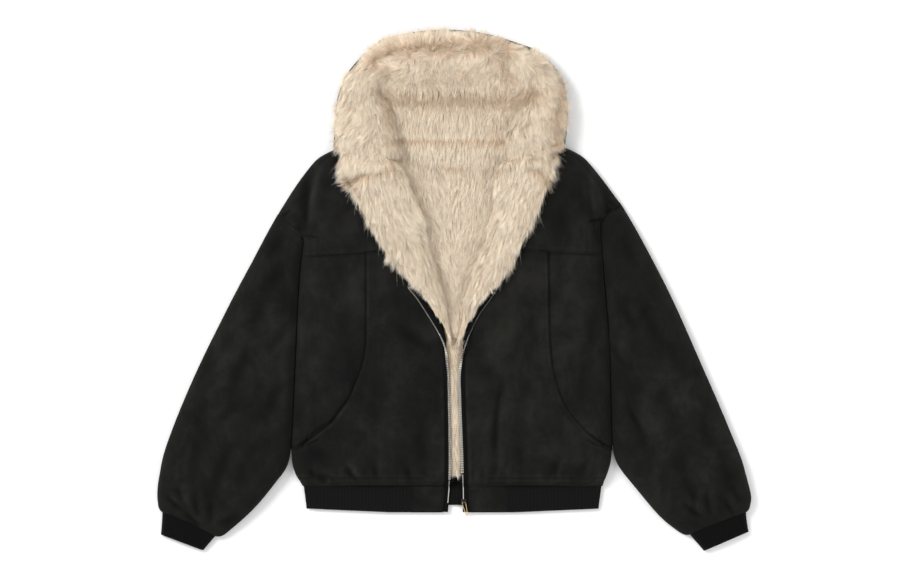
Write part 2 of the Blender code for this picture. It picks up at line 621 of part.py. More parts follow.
def make_hem_back():
    """The back of the hem band."""
    band_y = BACK_HEM_Y - SEAM
    end_y = -366.0
    left = FRONT_ROWS[LEFT][0].edge_x - 6.5
    right = FRONT_ROWS[RIGHT][0].edge_x - 6.5
    outline = [(-left, band_y), (-left + 3, end_y), (right - 3, end_y), (right, band_y)]
    flat_piece("hem_back", outline, 0.0, BAND, RIB)


# ---------------------------------------------------------------- the front hem band

RIB_END = {LEFT: 75.5, RIGHT: 87.5}     # where the rib meets the plain end of the band
SIDE_SLOPE = 5.0                        # how far the band narrows from seam to edge
EDGE_DROP = 6.5                         # how far the band runs lower at the zip than at the side
BAND_EDGE_Y = -372.0                    # lower edge of the band at the side
BAND_ROUND, BAND_FALL = 4.0, 2.6        # width and height of the band's rounded lower edge


def band_edge_y(side, x):
    return BAND_EDGE_Y - EDGE_DROP * min(1.0, (FRONT_ROWS[side][0].edge_x - x) / 150.0)


def make_hem_rib(label, side):
    """A ribbed front band: ribs in its top, over a plain underside."""
    top_edge = FRONT_ROWS[side][0].edge_x - 1.0
    end = RIB_END[side] + SEAM
    count = 2 * round((top_edge - 6 - end) / RIB_PITCH)
    seam_row, edge_row = [], []
    for i in range(count + 1):
        share = i / count
        x = mix(top_edge - 6, end, share)
        z = BAND_TOP + (RIB_RISE if i % 2 else 0.0) - RIB_RISE / 2
        seam_row.append((x, FRONT_HEM_Y - SEAM, z))
        edge_row.append((x - SIDE_SLOPE * (1 - share), z))
    low = BAND + SEAM
    fold = [(top_edge, low), (top_edge - 0.6, low + 3.2), (top_edge - 2.6, BAND_TOP - 0.6)]
    seam_row = [(x, FRONT_HEM_Y - SEAM, z) for x, z in fold] + seam_row
    edge_row = [(x - SIDE_SLOPE, z) for x, z in fold] + edge_row
    bm = bmesh.new()
    first = [bm.verts.new(place(side, *p)) for p in seam_row]
    ridge = [bm.verts.new(place(side, x, band_edge_y(side, x) + BAND_ROUND, z))
             for x, z in edge_row]
    last = [bm.verts.new(place(side, x, band_edge_y(side, x), max(low, z - BAND_FALL)))
            for x, z in edge_row]
    x_end = seam_row[-1][0]
    corner_first = bm.verts.new(place(side, x_end, FRONT_HEM_Y - SEAM, low))
    corner_last = bm.verts.new(place(side, x_end, band_edge_y(side, x_end), low))
    for near, far in ((first, ridge), (ridge, last)):
        for i in range(len(near) - 1):
            bm.faces.new((near[i], near[i + 1], far[i + 1], far[i]))
    bm.faces.new(first + [corner_first])
    bm.faces.new(last + [corner_last])
    bm.faces.new((first[-1], ridge[-1], last[-1], corner_last, corner_first))
    bm.faces.new((first[0], ridge[0], last[0], corner_last, corner_first))
    return finish_mesh("hem_rib_" + label, bm, RIB)


def zip_at(side, y):
    """The zip line's point at a level of the straight front."""
    line = ZIP_LINE[side]
    for first, second in zip(line, line[1:]):
        if y <= second.y:
            break
    return blend_rows(first, second, (y - first.y) / (second.y - first.y))


def make_hem_facing(label, side):
    """The plain suede end of the front band, beside the zip."""
    upper, lower = [], []
    outer = RIB_END[side] - SEAM
    end_y = BAND_EDGE_Y - EDGE_DROP + 0.7
    seam_y = FRONT_HEM_Y - SEAM
    for level, drop in ((seam_y, 0.3), (-352.0, 0.0), (end_y + BAND_ROUND, 0.0), (end_y, BAND_FALL)):
        inner = zip_at(side, level).x + TAPE_WIDTH + SEAM
        xs = spread(outer, inner, 5)
        upper.append([place(side, x, level, BAND_TOP - drop) for x in xs])
        lower.append([place(side, x, level, BAND + SEAM) for x in xs])
    return sheet_solid("hem_facing_" + label, upper, lower, SUEDE)


# ---------------------------------------------------------------- sleeves and cuffs

TUBE_STEPS = (0.0, 0.5, 1.0, 1.5)     # points round one edge of a tube
SIDE_POINTS = len(TUBE_STEPS)


def tube_ring(ring, tops, edge_width, gathers=()):
    """Points round a flattened tube, and the points of its narrow inside.

    The ring runs round the body side, over the top and down the outer side. "tops" are the
    shares across the top. The bottom is flat on the floor.
    """
    width = math.hypot(ring.out_x - ring.in_x, ring.out_y - ring.in_y)
    edge = min(edge_width, ring.top * 0.8, width * 0.3)
    rise = ring.top * TUBE_WAIST
    tuck = edge * TUBE_TUCK
    points = []
    for c in TUBE_STEPS:
        if c <= 1.0:
            angle = c * math.pi / 2
            points.append((tuck * (1 - math.sin(angle)), rise * (1 - math.cos(angle))))
        else:
            angle = (c - 1.0) * math.pi / 2
            points.append((edge * (1 - math.cos(angle)),
                           rise + (ring.top - rise) * math.sin(angle)))
    far_side = [(width - d, z) for d, z in points[::-1]]
    top_points = []
    for share in tops:
        z = ring.top + TUBE_CROWN * math.sin(math.pi * share)
        z -= sum(g.depth * math.exp(-((share - g.across) / g.width) ** 2) for g in gathers)
        top_points.append((mix(edge, width - edge, share), z))
    bottom = [(mix(width - tuck, tuck, share), 0.0) for share in (0.33, 0.67)]
    return width, points + top_points + far_side + bottom


def tube_points(side, ring, width, section, wall):
    """Place a tube's section, and its inside, along the line of a ring."""
    ux, uy = (ring.out_x - ring.in_x) / width, (ring.out_y - ring.in_y) / width
    middle = ring.top / 2
    squeeze = SLEEVE_SLIT / ring.top
    keep = min(wall, width * 0.4)
    outer, inner = [], []
    for d, z in section:
        outer.append(place(side, ring.in_x + ux * d, ring.in_y + uy * d, z))
        d = mix(keep, width - keep, d / width)
        z = middle + (min(z, ring.top) - middle) * squeeze
        inner.append(place(side, ring.in_x + ux * d, ring.in_y + uy * d, z))
    return outer, inner


def make_sleeve(label, side):
    """A sleeve: a flat tube of lined cloth, gathered where it meets its cuff."""
    rings = SLEEVE_RINGS[side]
    tops = spread(0.0, 1.0, 14)
    outer, inner = [], []
    for i, ring in enumerate(rings):
        from_cuff = len(rings) - 1 - i
        gathers = []
        for g in GATHERS:
            fade = max(0.0, 1 - from_cuff / (g.rings + 1)) * min(1.0, 0.45 + 0.35 * from_cuff)
            gathers.append(g._replace(depth=g.depth * fade))
        width, section = tube_ring(ring, tops, SLEEVE_EDGE, gathers)
        ring_outer, ring_inner = tube_points(side, ring, width, section, SLEEVE_WALL)
        outer.append(ring_outer)
        inner.append(ring_inner)
    return ring_solid("sleeve_" + label, outer, SUEDE, inner)


def make_cuff(label, side):
    """A ribbed cuff: ribs round its top, over a plain inside and underside."""
    rings = CUFF_RINGS[side]
    first = rings[0]
    width = math.hypot(first.out_x - first.in_x, first.out_y - first.in_y)
    count = 2 * round((width - 20) / RIB_PITCH)
    tops = spread(0.0, 1.0, count + 1)
    outer, inner = [], []
    for ring in rings:
        width, section = tube_ring(ring, tops, CUFF_EDGE)
        ribbed = []
        for i, (d, z) in enumerate(section):
            on_top = SIDE_POINTS <= i < SIDE_POINTS + len(tops)
            ribbed.append((d, z - (RIB_RISE if on_top and i % 2 else 0.0)))
        ring_outer, ring_inner = tube_points(side, ring, width, ribbed, CUFF_WALL)
        outer.append(ring_outer)
        inner.append(ring_inner)
    return ring_solid("cuff_" + label, outer, RIB, inner)


# ---------------------------------------------------------------- lapels and hood

def roll_line(roll):
    """The unit direction of a roll's station from its outer to its inner edge."""
    dx, dy = roll.in_x - roll.out_x, roll.in_y - roll.out_y
    width = math.hypot(dx, dy)
    return dx / width, dy / width, width


def shell_edge_at(side, roll):
    """The distance along a lapel's station at which the front's shell ends."""
    ux, uy, width = roll_line(roll)
    low, high = 0.0, width
    for _ in range(30):
        d = (low + high) / 2
        x, y = roll.out_x + ux * d, roll.out_y + uy * d
        outside = x > front_edge_x(side, y) - 1.2
        low, high = (d, high) if outside else (low, d)
    return d


def make_lapel_shell(label, side):
    """The shell of the turned-back front, lying face down on the front."""
    upper, lower = [], []
    for roll in LAPEL_ROLL[side][2:]:
        ux, uy, _ = roll_line(roll)
        end = shell_edge_at(side, roll)
        top, low = [], []
        for d in spread(min(4.0, end * 0.3), end, 7):
            x, y = roll.out_x + ux * d, roll.out_y + uy * d
            z = front_height(side, x, y) + LAPEL_ROOM
            low.append(place(side, x, y, z))
            top.append(place(side, x, y, z + SHELL))
        upper.append(top)
        lower.append(low)
    return sheet_solid("lapel_shell_" + label, upper, lower, SUEDE)


def make_lapel_fur(label, side):
    """The pile of the turned-back front, which rolls in over its folded edge."""
    rings = []
    for roll in LAPEL_ROLL[side]:
        ux, uy, width = roll_line(roll)
        small = min(1.0, width / 60.0)
        step = max(shell_edge_at(side, roll), 0.3 * width)
        lift = LAPEL_ROOM + SHELL + 3 * SEAM

        def over(d):
            x, y = roll.out_x + ux * d, roll.out_y + uy * d
            return front_height(side, x, y) + lift

        base = over(6 * small)
        crest = max(roll.top, base + 4)
        section = [
            (3 * small, over(3 * small)), (0.0, base + 5 * small),
            (3 * small, mix(base, crest, 0.7)), (12 * small, crest - 2 * small),
            (width * 0.4, crest), (width * 0.7, crest - 1), (width - 12 * small, crest - 4),
            (width - 3 * small, crest - 12), (width, FRONT_BASE + 6), (width - 1, FRONT_BASE),
            (step + 0.5, FRONT_BASE), (step + 0.5, over(step)), (step * 0.7, over(step * 0.7)),
            (step * 0.35, over(step * 0.35)),
        ]
        rings.append([place(side, roll.out_x + ux * d, roll.out_y + uy * d, z)
                      for d, z in section])
    return ring_solid("lapel_fur_" + label, rings, PILE)


# How the hood's shell turns up round its edge: shares of the curl's width and of its height.
CURL_ANGLES = [0.0, 45.0, 90.0]


def curl_point(angle, depth):
    """A point of the turned-up edge, as a distance in from the outer edge and a height."""
    rise = HOOD_RIM - 6.0
    a = math.radians(angle)
    return (HOOD_CURL - (HOOD_CURL - 1.0 - depth) * math.sin(a),
            rise - (rise - depth) * math.cos(a))


def hood_shell_row(side, roll, inner_points):
    """The outside and inside of the hood's shell at one station."""
    ux, uy, _ = roll_line(roll)
    outside = [(x, y, 0.0) for x, y in inner_points]
    inside = [(x, y, SHELL) for x, y in inner_points]
    for points, depth in ((outside, 0.0), (inside, SHELL)):
        for angle in CURL_ANGLES:
            d, z = curl_point(angle, depth)
            points.append((roll.out_x + ux * d, roll.out_y + uy * d, z))
        d, _ = curl_point(90.0, depth)
        points.append((roll.out_x + ux * (d + 0.5), roll.out_y + uy * (d + 0.5), HOOD_RIM))
    return [place(side, *p) for p in outside], [place(side, *p) for p in inside]


def hood_fur_ring(side, roll):
    """One section of the hood's pile, lying in the turned-up shell."""
    ux, uy, width = roll_line(roll)
    depth = SHELL + SEAM
    section = [curl_point(angle, depth) for angle in CURL_ANGLES]
    rim = section[-1][0] + 0.5
    section += [
        (rim, HOOD_RIM + SEAM), (0.0, HOOD_RIM + 2), (1.0, HOOD_RIM + 8),
        (width * 0.1, roll.top - 8), (width * 0.25, roll.top - 1), (width * 0.5, roll.top),
        (width * 0.72, roll.top - 2), (width * 0.88, roll.top - 8), (width, roll.top * 0.52),
        (width, depth),
    ]
    return [place(side, roll.out_x + ux * d, roll.out_y + uy * d, z) for d, z in section]


def make_hood_side(label, side):
    """One side of the hood: its shell on the floor, and the pile rolled over in it."""
    rolls = HOOD_ROLL[side]
    neck = (rolls[0].in_x, NECK_Y + SEAM)
    end = rolls[-1]
    upper, lower = [], []
    for i, roll in enumerate(rolls):
        share = max(0.0, (roll.in_y - NECK_Y) / (end.in_y - NECK_Y))
        inner = (roll.in_x, roll.in_y)
        if i:
            inner = (mix(neck[0], end.in_x, share), mix(neck[1], end.in_y, share))
        outside, inside = hood_shell_row(side, roll, [inner])
        lower.append(outside)
        upper.append(inside)
    sheet_solid("hood_shell_" + label, upper, lower, SUEDE)
    ring_solid("hood_fur_" + label, [hood_fur_ring(side, roll) for roll in rolls], PILE)


def crown_stations():
    """The crown's stations from the left end to the right end, with x counted to the right."""
    left, right = HOOD_ROLL[LEFT][-1], HOOD_ROLL[RIGHT][-1]
    first = Roll(-left.out_x + SEAM, left.out_y, -left.in_x + SEAM, left.in_y, left.top)
    last = Roll(right.out_x - SEAM, right.out_y, right.in_x - SEAM, right.in_y, right.top)
    return [first] + CROWN_ROLL + [last]


def make_hood_crown():
    """The crown of the hood, and the low pile inside it above the neck seam."""
    stations = crown_stations()
    left_neck = -HOOD_ROLL[LEFT][0].in_x + SEAM
    right_neck = HOOD_ROLL[RIGHT][0].in_x - SEAM
    upper, lower = [], []
    for roll in stations:
        share = (roll.in_x - stations[0].in_x) / (stations[-1].in_x - stations[0].in_x)
        neck = (mix(left_neck, right_neck, share), NECK_Y + SEAM)
        outside, inside = hood_shell_row(RIGHT, roll, [neck, (roll.in_x, roll.in_y)])
        lower.append(outside)
        upper.append(inside)
    sheet_solid("hood_shell_crown", upper, lower, SUEDE)
    ring_solid("hood_fur_crown", [hood_fur_ring(RIGHT, roll) for roll in stations], PILE)

    gap = 2 * SEAM
    outline = []
    for side, rolls in ((LEFT, HOOD_ROLL[LEFT]), (RIGHT, HOOD_ROLL[RIGHT][::-1])):
        points = [(side * (roll.in_x - gap), roll.in_y) for roll in rolls]
        start = (side * (HOOD_ROLL[side][1].in_x - gap), NECK_Y + SEAM)
        points = [p for p in points if p[1] > NECK_Y + 8]
        points = [(x, min(y, 352.0)) for x, y in points]
        outline += [start] + points if side == LEFT else points + [start]
    flat_piece("hood_fur_back", outline, SHELL + SEAM, HOOD_FLOOR, PILE)


# ---------------------------------------------------------------- the zip

def make_zip_tape(label, side):
    """The zip's tape, which turns over where the front is turned back."""
    line = ZIP_LINE[side]
    rings = []
    for i, at in enumerate(line):
        before, after = line[max(i - 1, 0)], line[min(i + 1, len(line) - 1)]
        run = Vector((after.x - before.x, after.y - before.y, 0)).normalized()
        out = Vector((run.y, -run.x, 0))
        turn = math.radians(at.turn)
        across = out * math.cos(turn) + Vector((0, 0, -1)) * math.sin(turn)
        normal = run.cross(across).normalized() * TAPE / 2
        edge = Vector((at.x, at.y, at.z))
        root = edge + across * TAPE_WIDTH * (1 - 0.2 * at.turn / 180)
        ring = (edge + normal, root + normal, root - normal, edge - normal)
        rings.append([place(side, *p) for p in ring])
    return ring_solid("zip_tape_" + label, rings, TWILL)


def box(bm, low, high):
    """Add a box between two corners, in millimetres."""
    size = [h - l for l, h in zip(low, high)]
    made = bmesh.ops.create_cube(bm, size=1.0)
    for v in made["verts"]:
        v.co = Vector([(l + s * (c + 0.5)) * MM for l, s, c in zip(low, size, v.co)])


def join_boxes(name, boxes, material, bar=None):
    """Unite boxes, and a round bar along X, into one solid."""
    parts = []
    for low, high in boxes:
        bm = bmesh.new()
        box(bm, low, high)
        parts.append(bm)
    if bar:
        bm = bmesh.new()
        radius, half = bar
        bmesh.ops.create_cone(bm, cap_ends=True, segments=10, radius1=radius * MM,
                              radius2=radius * MM, depth=2 * half * MM)
        for v in bm.verts:
            v.co = Vector((v.co.z, v.co.x, v.co.y))
        bmesh.ops.recalc_face_normals(bm, faces=bm.faces[:])
        parts.append(bm)
    objects = []
    for i, bm in enumerate(parts):
        mesh = bpy.data.meshes.new(f"{name}_{i}")
        bm.to_mesh(mesh)
        bm.free()
        objects.append(add_object(name if i == 0 else f"{name}_tool_{i}", mesh, material))
    body = objects[0]
    tools = bpy.data.collections.get("cutters") or bpy.data.collections.new("cutters")
    for tool in objects[1:]:
        jacket.objects.unlink(tool)
        tools.objects.link(tool)
        tool.hide_render = True
        tool.display_type = "WIRE"
        union = body.modifiers.new(tool.name, "BOOLEAN")
        union.operation = "UNION"
        union.solver = "EXACT"
        union.object = tool
    return body, objects[1:]


def make_slider():
    """The slider on the right zip, with its bridge, and the pull tab that swings on it."""
    at = zip_at(RIGHT, SLIDER_Y)
    low = at.z - SLIDER["slot"] / 2
    high = at.z + SLIDER["slot"] / 2
    plate, half = SLIDER["plate"], SLIDER["length"] / 2
    left = at.x - SLIDER["spine"] - 0.4
    right = left + SLIDER["width"]
    deck = high + plate
    b = BRIDGE
    pivot = Vector((left + SLIDER["width"] / 2, SLIDER_Y, deck + 0.5 + PULL["thick"] / 2))
    beam = deck + b["clear"]
    y0, y1 = SLIDER_Y - b["half_length"], SLIDER_Y + b["half_length"]
    x0, x1 = pivot.x - b["half_width"], pivot.x + b["half_width"]
    boxes = [
        ((left, SLIDER_Y - half, low - plate), (right, SLIDER_Y + half, low)),
        ((left, SLIDER_Y - half, high), (right, SLIDER_Y + half, deck)),
        ((left, SLIDER_Y - half, low - plate), (left + SLIDER["spine"], SLIDER_Y + half, deck)),
        ((x0, y0, high), (x1, y0 + b["post"], beam + b["beam"])),
        ((x0, y1 - b["post"], high), (x1, y1, beam + b["beam"])),
        ((x0, y0, beam), (x1, y1, beam + b["beam"])),
    ]
    join_boxes("zip_slider", boxes, STEEL)

    p = PULL
    h = p["thick"] / 2
    arms = [((s * p["hole"], -p["near"] - 1, -h), (s * (p["hole"] + p["arm"]), 0.0, h))
            for s in (-1, 1)]
    arms = [(tuple(map(min, lo, hi)), tuple(map(max, lo, hi))) for lo, hi in arms]
    boxes = arms + [((-p["half_width"], -p["length"], -h), (p["half_width"], -p["near"], h))]
    pull, tools = join_boxes("zip_pull", boxes, BRASS, bar=(p["bar"], p["hole"] + p["arm"]))
    for obj in [pull] + tools:
        obj.location = pivot * MM
        obj.rotation_euler.z = p["yaw"]


# ---------------------------------------------------------------- build the jacket

make_back()
make_hem_back()
for label, side in SIDES:
    make_centre_panel(label, side)
    make_side_panel(label, side)
    make_yoke(label, side)
    make_front_lining(label, side)
    make_hem_rib(label, side)
    make_hem_facing(label, side)
    make_sleeve(label, side)
    make_cuff(label, side)
    make_lapel_shell(label, side)
    make_lapel_fur(label, side)
    make_hood_side(label, side)
    make_zip_tape(label, side)
make_hood_crown()
make_slider()
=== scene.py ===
# %% [markdown]
# # A black hooded jacket lined with long pile, laid flat
#
# The jacket lies on its back, open at the zip, with its hood and upper fronts turned out so
# that the pile shows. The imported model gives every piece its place. This lesson gives each
# piece its cloth: folds and gathers in the suede, ribs in the knit, teeth on the zip, and
# some two hundred thousand hairs on the pile. All sizes are in millimetres unless a name or
# a comment says otherwise, with X to the right, Y from hem to hood and Z up.

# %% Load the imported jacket
import json
import math
from collections import namedtuple

import bmesh
import bpy
import numpy as np
from mathutils import Matrix, Vector
from mathutils.bvhtree import BVHTree
from mathutils.kdtree import KDTree

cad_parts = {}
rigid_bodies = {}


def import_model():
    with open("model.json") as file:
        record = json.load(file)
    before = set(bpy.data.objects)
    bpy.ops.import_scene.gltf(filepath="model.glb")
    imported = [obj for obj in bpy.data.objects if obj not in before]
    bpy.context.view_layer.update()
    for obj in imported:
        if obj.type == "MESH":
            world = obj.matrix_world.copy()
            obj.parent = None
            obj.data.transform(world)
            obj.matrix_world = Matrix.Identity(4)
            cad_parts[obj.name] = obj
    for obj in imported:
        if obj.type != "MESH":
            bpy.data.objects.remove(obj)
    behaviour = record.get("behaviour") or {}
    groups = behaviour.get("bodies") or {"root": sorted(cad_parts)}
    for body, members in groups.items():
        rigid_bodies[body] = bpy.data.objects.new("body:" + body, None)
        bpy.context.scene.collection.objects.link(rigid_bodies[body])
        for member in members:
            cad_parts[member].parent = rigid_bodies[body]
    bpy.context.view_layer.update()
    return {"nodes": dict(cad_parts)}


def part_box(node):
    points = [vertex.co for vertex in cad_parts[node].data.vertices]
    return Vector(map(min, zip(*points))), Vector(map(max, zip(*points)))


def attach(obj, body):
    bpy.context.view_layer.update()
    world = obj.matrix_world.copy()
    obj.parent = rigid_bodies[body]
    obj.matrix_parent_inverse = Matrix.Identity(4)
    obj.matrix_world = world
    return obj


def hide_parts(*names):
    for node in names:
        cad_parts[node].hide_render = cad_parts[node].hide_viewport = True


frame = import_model()
nodes = frame["nodes"]
MM = 0.001
SIDES = {"left": -1, "right": 1}
print("loaded", len(nodes), "pieces")

# %% [markdown]
# ## The studio
#
# The picture was taken from straight above, from far enough away that the jacket hardly
# widens towards the camera. A short lens close by would make the raised hood look too large.
# A long lens does what the real one did, and the camera's height follows from the width of
# cloth that has to fill the picture.

# %% The camera
SCALE = 1.7                      # millimetres of jacket for each pixel of the picture
FRAME_WIDTH, SENSOR = 900 * SCALE, 36.0
LENS = 150.0
CAMERA_X, CAMERA_Y, FOCUS_Z = -7.6, 3.4, 15.0


def add_object(name, data):
    """Make an object from its data, and put it into the scene."""
    obj = bpy.data.objects.new(name, data)
    bpy.context.scene.collection.objects.link(obj)
    return obj


camera_data = bpy.data.cameras.new("camera")
camera_data.lens = LENS
camera_data.sensor_width = SENSOR
camera = add_object("camera", camera_data)
camera.location = Vector((CAMERA_X, CAMERA_Y, FOCUS_Z + FRAME_WIDTH * LENS / SENSOR)) * MM
bpy.context.scene.camera = camera
print("the camera stands %.2f m above the floor" % camera.location.z)

# %% [markdown]
# Black cloth shows its folds only through soft light from one side. One large light stands
# up on the left, and a weaker one on the right fills the shadows. A small light would draw
# hard shadows, and the photo has none. An even sky keeps the whole picture bright, and the
# Standard view leaves the white as white.

# %% Two soft lights and an even sky
SKY_STRENGTH = 0.82


def area_light(name, place, size, power):
    """A square soft light at a place in metres, turned towards the jacket."""
    data = bpy.data.lights.new(name, "AREA")
    data.size = size
    data.energy = power
    light = add_object(name, data)
    light.location = place
    light.rotation_euler = (-Vector(place)).to_track_quat("-Z", "Y").to_euler()
    return light


lights = [area_light("key_light", (-3.0, 2.3, 3.6), size=2.0, power=215),
          area_light("fill_light", (2.8, -1.2, 3.0), size=2.6, power=48)]
world = bpy.data.worlds.new("studio")
world.use_nodes = True
sky = world.node_tree.nodes["Background"]
sky.inputs["Color"].default_value = (1, 1, 1, 1)
sky.inputs["Strength"].default_value = SKY_STRENGTH
bpy.context.scene.world = world
bpy.context.scene.view_settings.view_transform = "Standard"
print("lit by", [light.name for light in lights], "and the sky")

# %% [markdown]
# The floor is a wide matt sheet just under the jacket, so white that only the faint shadow
# on the right and below the hem can be seen. A backdrop that curves up would do as well, but
# the camera looks straight down and never sees it. The helper starts every material of this
# lesson: it takes a Principled shader and sets its sockets by their names.

# %% The white floor
FLOOR_REACH, FLOOR_DROP = 6.0, 0.0004        # metres


def principled(name, color, roughness, **values):
    """Start a material and return it with its tree and shader."""
    material = bpy.data.materials.new(name)
    material.use_nodes = True
    tree = material.node_tree
    shader = tree.nodes["Principled BSDF"]
    shader.inputs["Base Color"].default_value = (*color, 1)
    shader.inputs["Roughness"].default_value = roughness
    for key, value in values.items():
        shader.inputs[key.replace("_", " ")].default_value = value
    return material, tree, shader


floor_mesh = bpy.data.meshes.new("floor")
corners = [(x * FLOOR_REACH, y * FLOOR_REACH, 0) for x, y in ((-1, -1), (1, -1), (1, 1), (-1, 1))]
floor_mesh.from_pydata(corners, [], [(0, 1, 2, 3)])
floor_material, _, _ = principled("white_floor", (0.86, 0.86, 0.86), 0.9, Specular_IOR_Level=0.1)
floor_mesh.materials.append(floor_material)
floor = add_object("floor", floor_mesh)
floor.location.z = -FLOOR_DROP
print("the floor reaches", FLOOR_REACH, "m each way")

# %% [markdown]
# ## The finishes
#
# Cloth is never one flat colour. Its shade wanders in patches, and its surface is rough at
# a scale that the mesh can't hold. A picture could be laid on it, but it would stretch at
# the folds and repeat. Noise that is worked out in space has no seams and looks the same
# from every side. Three helpers make it, turn it into colours and press it into the surface.


# %% Noise, colours and relief for a material
def add_noise(tree, scale, detail=3.0, stretch=(1, 1, 1), distortion=0.0, roughness=0.5):
    """A noise texture in object space, "scale" lumps to the metre, and its value socket."""
    coordinates = tree.nodes.new("ShaderNodeTexCoord")
    mapping = tree.nodes.new("ShaderNodeMapping")
    mapping.inputs["Scale"].default_value = stretch
    noise = tree.nodes.new("ShaderNodeTexNoise")
    noise.inputs["Scale"].default_value = scale
    noise.inputs["Detail"].default_value = detail
    noise.inputs["Distortion"].default_value = distortion
    noise.inputs["Roughness"].default_value = roughness
    tree.links.new(coordinates.outputs["Object"], mapping.inputs["Vector"])
    tree.links.new(mapping.outputs["Vector"], noise.inputs["Vector"])
    return noise.outputs["Fac"]


def ramp_color(tree, value, stops, shader=None, socket="Base Color"):
    """Turn a value into colours, and lead them to a socket of the shader."""
    ramp = tree.nodes.new("ShaderNodeValToRGB")
    while len(ramp.color_ramp.elements) < len(stops):
        ramp.color_ramp.elements.new(0.5)
    for element, (position, color) in zip(ramp.color_ramp.elements, stops):
        element.position = position
        element.color = (*color, 1)
    tree.links.new(value, ramp.inputs["Fac"])
    if shader:
        tree.links.new(ramp.outputs["Color"], shader.inputs[socket])
    return ramp.outputs["Color"]


def add_bump(tree, shader, value, distance, strength=1.0, before=None):
    """Press a value into the surface, on top of an earlier bump."""
    bump = tree.nodes.new("ShaderNodeBump")
    bump.inputs["Distance"].default_value = distance * MM
    bump.inputs["Strength"].default_value = strength
    tree.links.new(value, bump.inputs["Height"])
    if before is not None:
        tree.links.new(before, bump.inputs["Normal"])
    tree.links.new(bump.outputs["Normal"], shader.inputs["Normal"])
    return bump.outputs["Normal"]


print("made the helpers", [helper.__name__ for helper in (add_noise, ramp_color, add_bump)])

# %% [markdown]
# Suede cloth is black with a nap that lies this way and that, so it has faint lighter
# patches and a soft sheen at grazing light. The broad patches run over three shades of near
# black. A second colour on each mesh, "nap", holds painted shade and painted highlight, and is
# multiplied in. Two bumps give the fine nap and the softer pebbles below it.


# %% Black suede
SUEDE_SHADES = [(0.32, (0.0028, 0.0030, 0.0030)), (0.5, (0.0060, 0.0061, 0.0055)),
                (0.70, (0.0128, 0.0123, 0.0106))]
PATCHES_PER_METRE, PEBBLES_PER_METRE, NAP_PER_METRE = 16, 90, 420


def make_suede():
    """Black cloth in three shades, times the mesh's painted shade and highlight, with a nap bump."""
    material, tree, shader = principled(
        "black_suede", (0.010, 0.010, 0.009), 0.95, Sheen_Weight=0.06, Sheen_Roughness=0.7,
        Specular_IOR_Level=0.03)
    shader.inputs["Sheen Tint"].default_value = (0.5, 0.5, 0.47, 1)
    patches = add_noise(tree, PATCHES_PER_METRE, 10, (1, 0.75, 1), 0.25, 0.68)
    tone = ramp_color(tree, patches, SUEDE_SHADES)
    # the mesh's colour named "nap" holds painted shade and painted highlight
    painted_shade_node = tree.nodes.new("ShaderNodeAttribute")
    painted_shade_node.attribute_name = "nap"
    product = tree.nodes.new("ShaderNodeMix")
    product.data_type = "RGBA"
    product.blend_type = "MULTIPLY"
    product.inputs["Factor"].default_value = 1.0
    tree.links.new(tone, product.inputs[6])              # the colour sockets A, B and Result
    tree.links.new(painted_shade_node.outputs["Color"], product.inputs[7])
    tree.links.new(product.outputs[2], shader.inputs["Base Color"])
    nap = add_bump(tree, shader, add_noise(tree, NAP_PER_METRE, 4), 0.5, 0.5)
    pebbles = add_noise(tree, PEBBLES_PER_METRE, 5, distortion=0.6)
    add_bump(tree, shader, pebbles, 1.2, 0.4, nap)
    return material


SUEDE = make_suede()
print("made", SUEDE.name)

# %% [markdown]
# The hem band and the cuffs are a fine rib knit. Its ribs could be modelled, but at 2.4 mm
# they would need as many faces as all the rest. A wave in the material makes them: it paints
# shade into the grooves and raises the ribs, and noise breaks them up into stitches. The ribs
# run along each cuff, so each cuff has its own turned copy.


# %% Black rib knit
RIB_PITCH = 2.4                  # from one rib of the knit to the next
# GROOVE_SHADE is painted shade in the grooves; RIB_SHADE is the colour of the rib tops
GROOVE_SHADE, RIB_SHADE = 0.0026, 0.0082


def make_knit(name, turn, light=1.0):
    """A fine rib knit, whose ribs stand across a line turned by an angle from X."""
    material, tree, shader = principled(
        name, (0.008, 0.008, 0.0078), 0.95, Sheen_Weight=0.1, Specular_IOR_Level=0.04)
    shader.inputs["Sheen Tint"].default_value = (0.45, 0.45, 0.44, 1)
    coordinates = tree.nodes.new("ShaderNodeTexCoord")
    mapping = tree.nodes.new("ShaderNodeMapping")
    mapping.inputs["Rotation"].default_value = (0, 0, math.radians(turn))
    ribs = tree.nodes.new("ShaderNodeTexWave")
    ribs.inputs["Scale"].default_value = 2 * math.pi / (20 * RIB_PITCH * MM)
    tree.links.new(coordinates.outputs["Object"], mapping.inputs["Vector"])
    tree.links.new(mapping.outputs["Vector"], ribs.inputs["Vector"])
    shades = [(0.1, (GROOVE_SHADE * light,) * 3), (0.8, (RIB_SHADE * light,) * 3)]
    ramp_color(tree, ribs.outputs["Fac"], shades, shader)
    raised = add_bump(tree, shader, ribs.outputs["Fac"], 0.8, 0.7)
    add_bump(tree, shader, add_noise(tree, 700, 2, (1, 0.45, 1)), 0.3, 0.5, raised)
    return material


KNIT = {"hem": make_knit("black_rib_knit", 0),
        "left": make_knit("black_rib_knit_left", 20, 0.6),
        "right": make_knit("black_rib_knit_right", -18, 0.6)}
print("made", [knit.name for knit in KNIT.values()])

# %% [markdown]
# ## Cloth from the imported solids
#
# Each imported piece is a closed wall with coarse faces, already cut into triangles. A
# Subdivision Surface makes rounder shapes from four-sided faces, so a piece is copied, its
# points are welded and its triangles are joined back into pairs. Modelling each panel again
# would be slower, and it could drift away from the solids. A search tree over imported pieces
# tells later what lies in front of a point.


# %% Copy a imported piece
WELD = 1e-5                      # metres
PAIR_FOLD, PAIR_SHAPE = math.radians(40), math.radians(75)


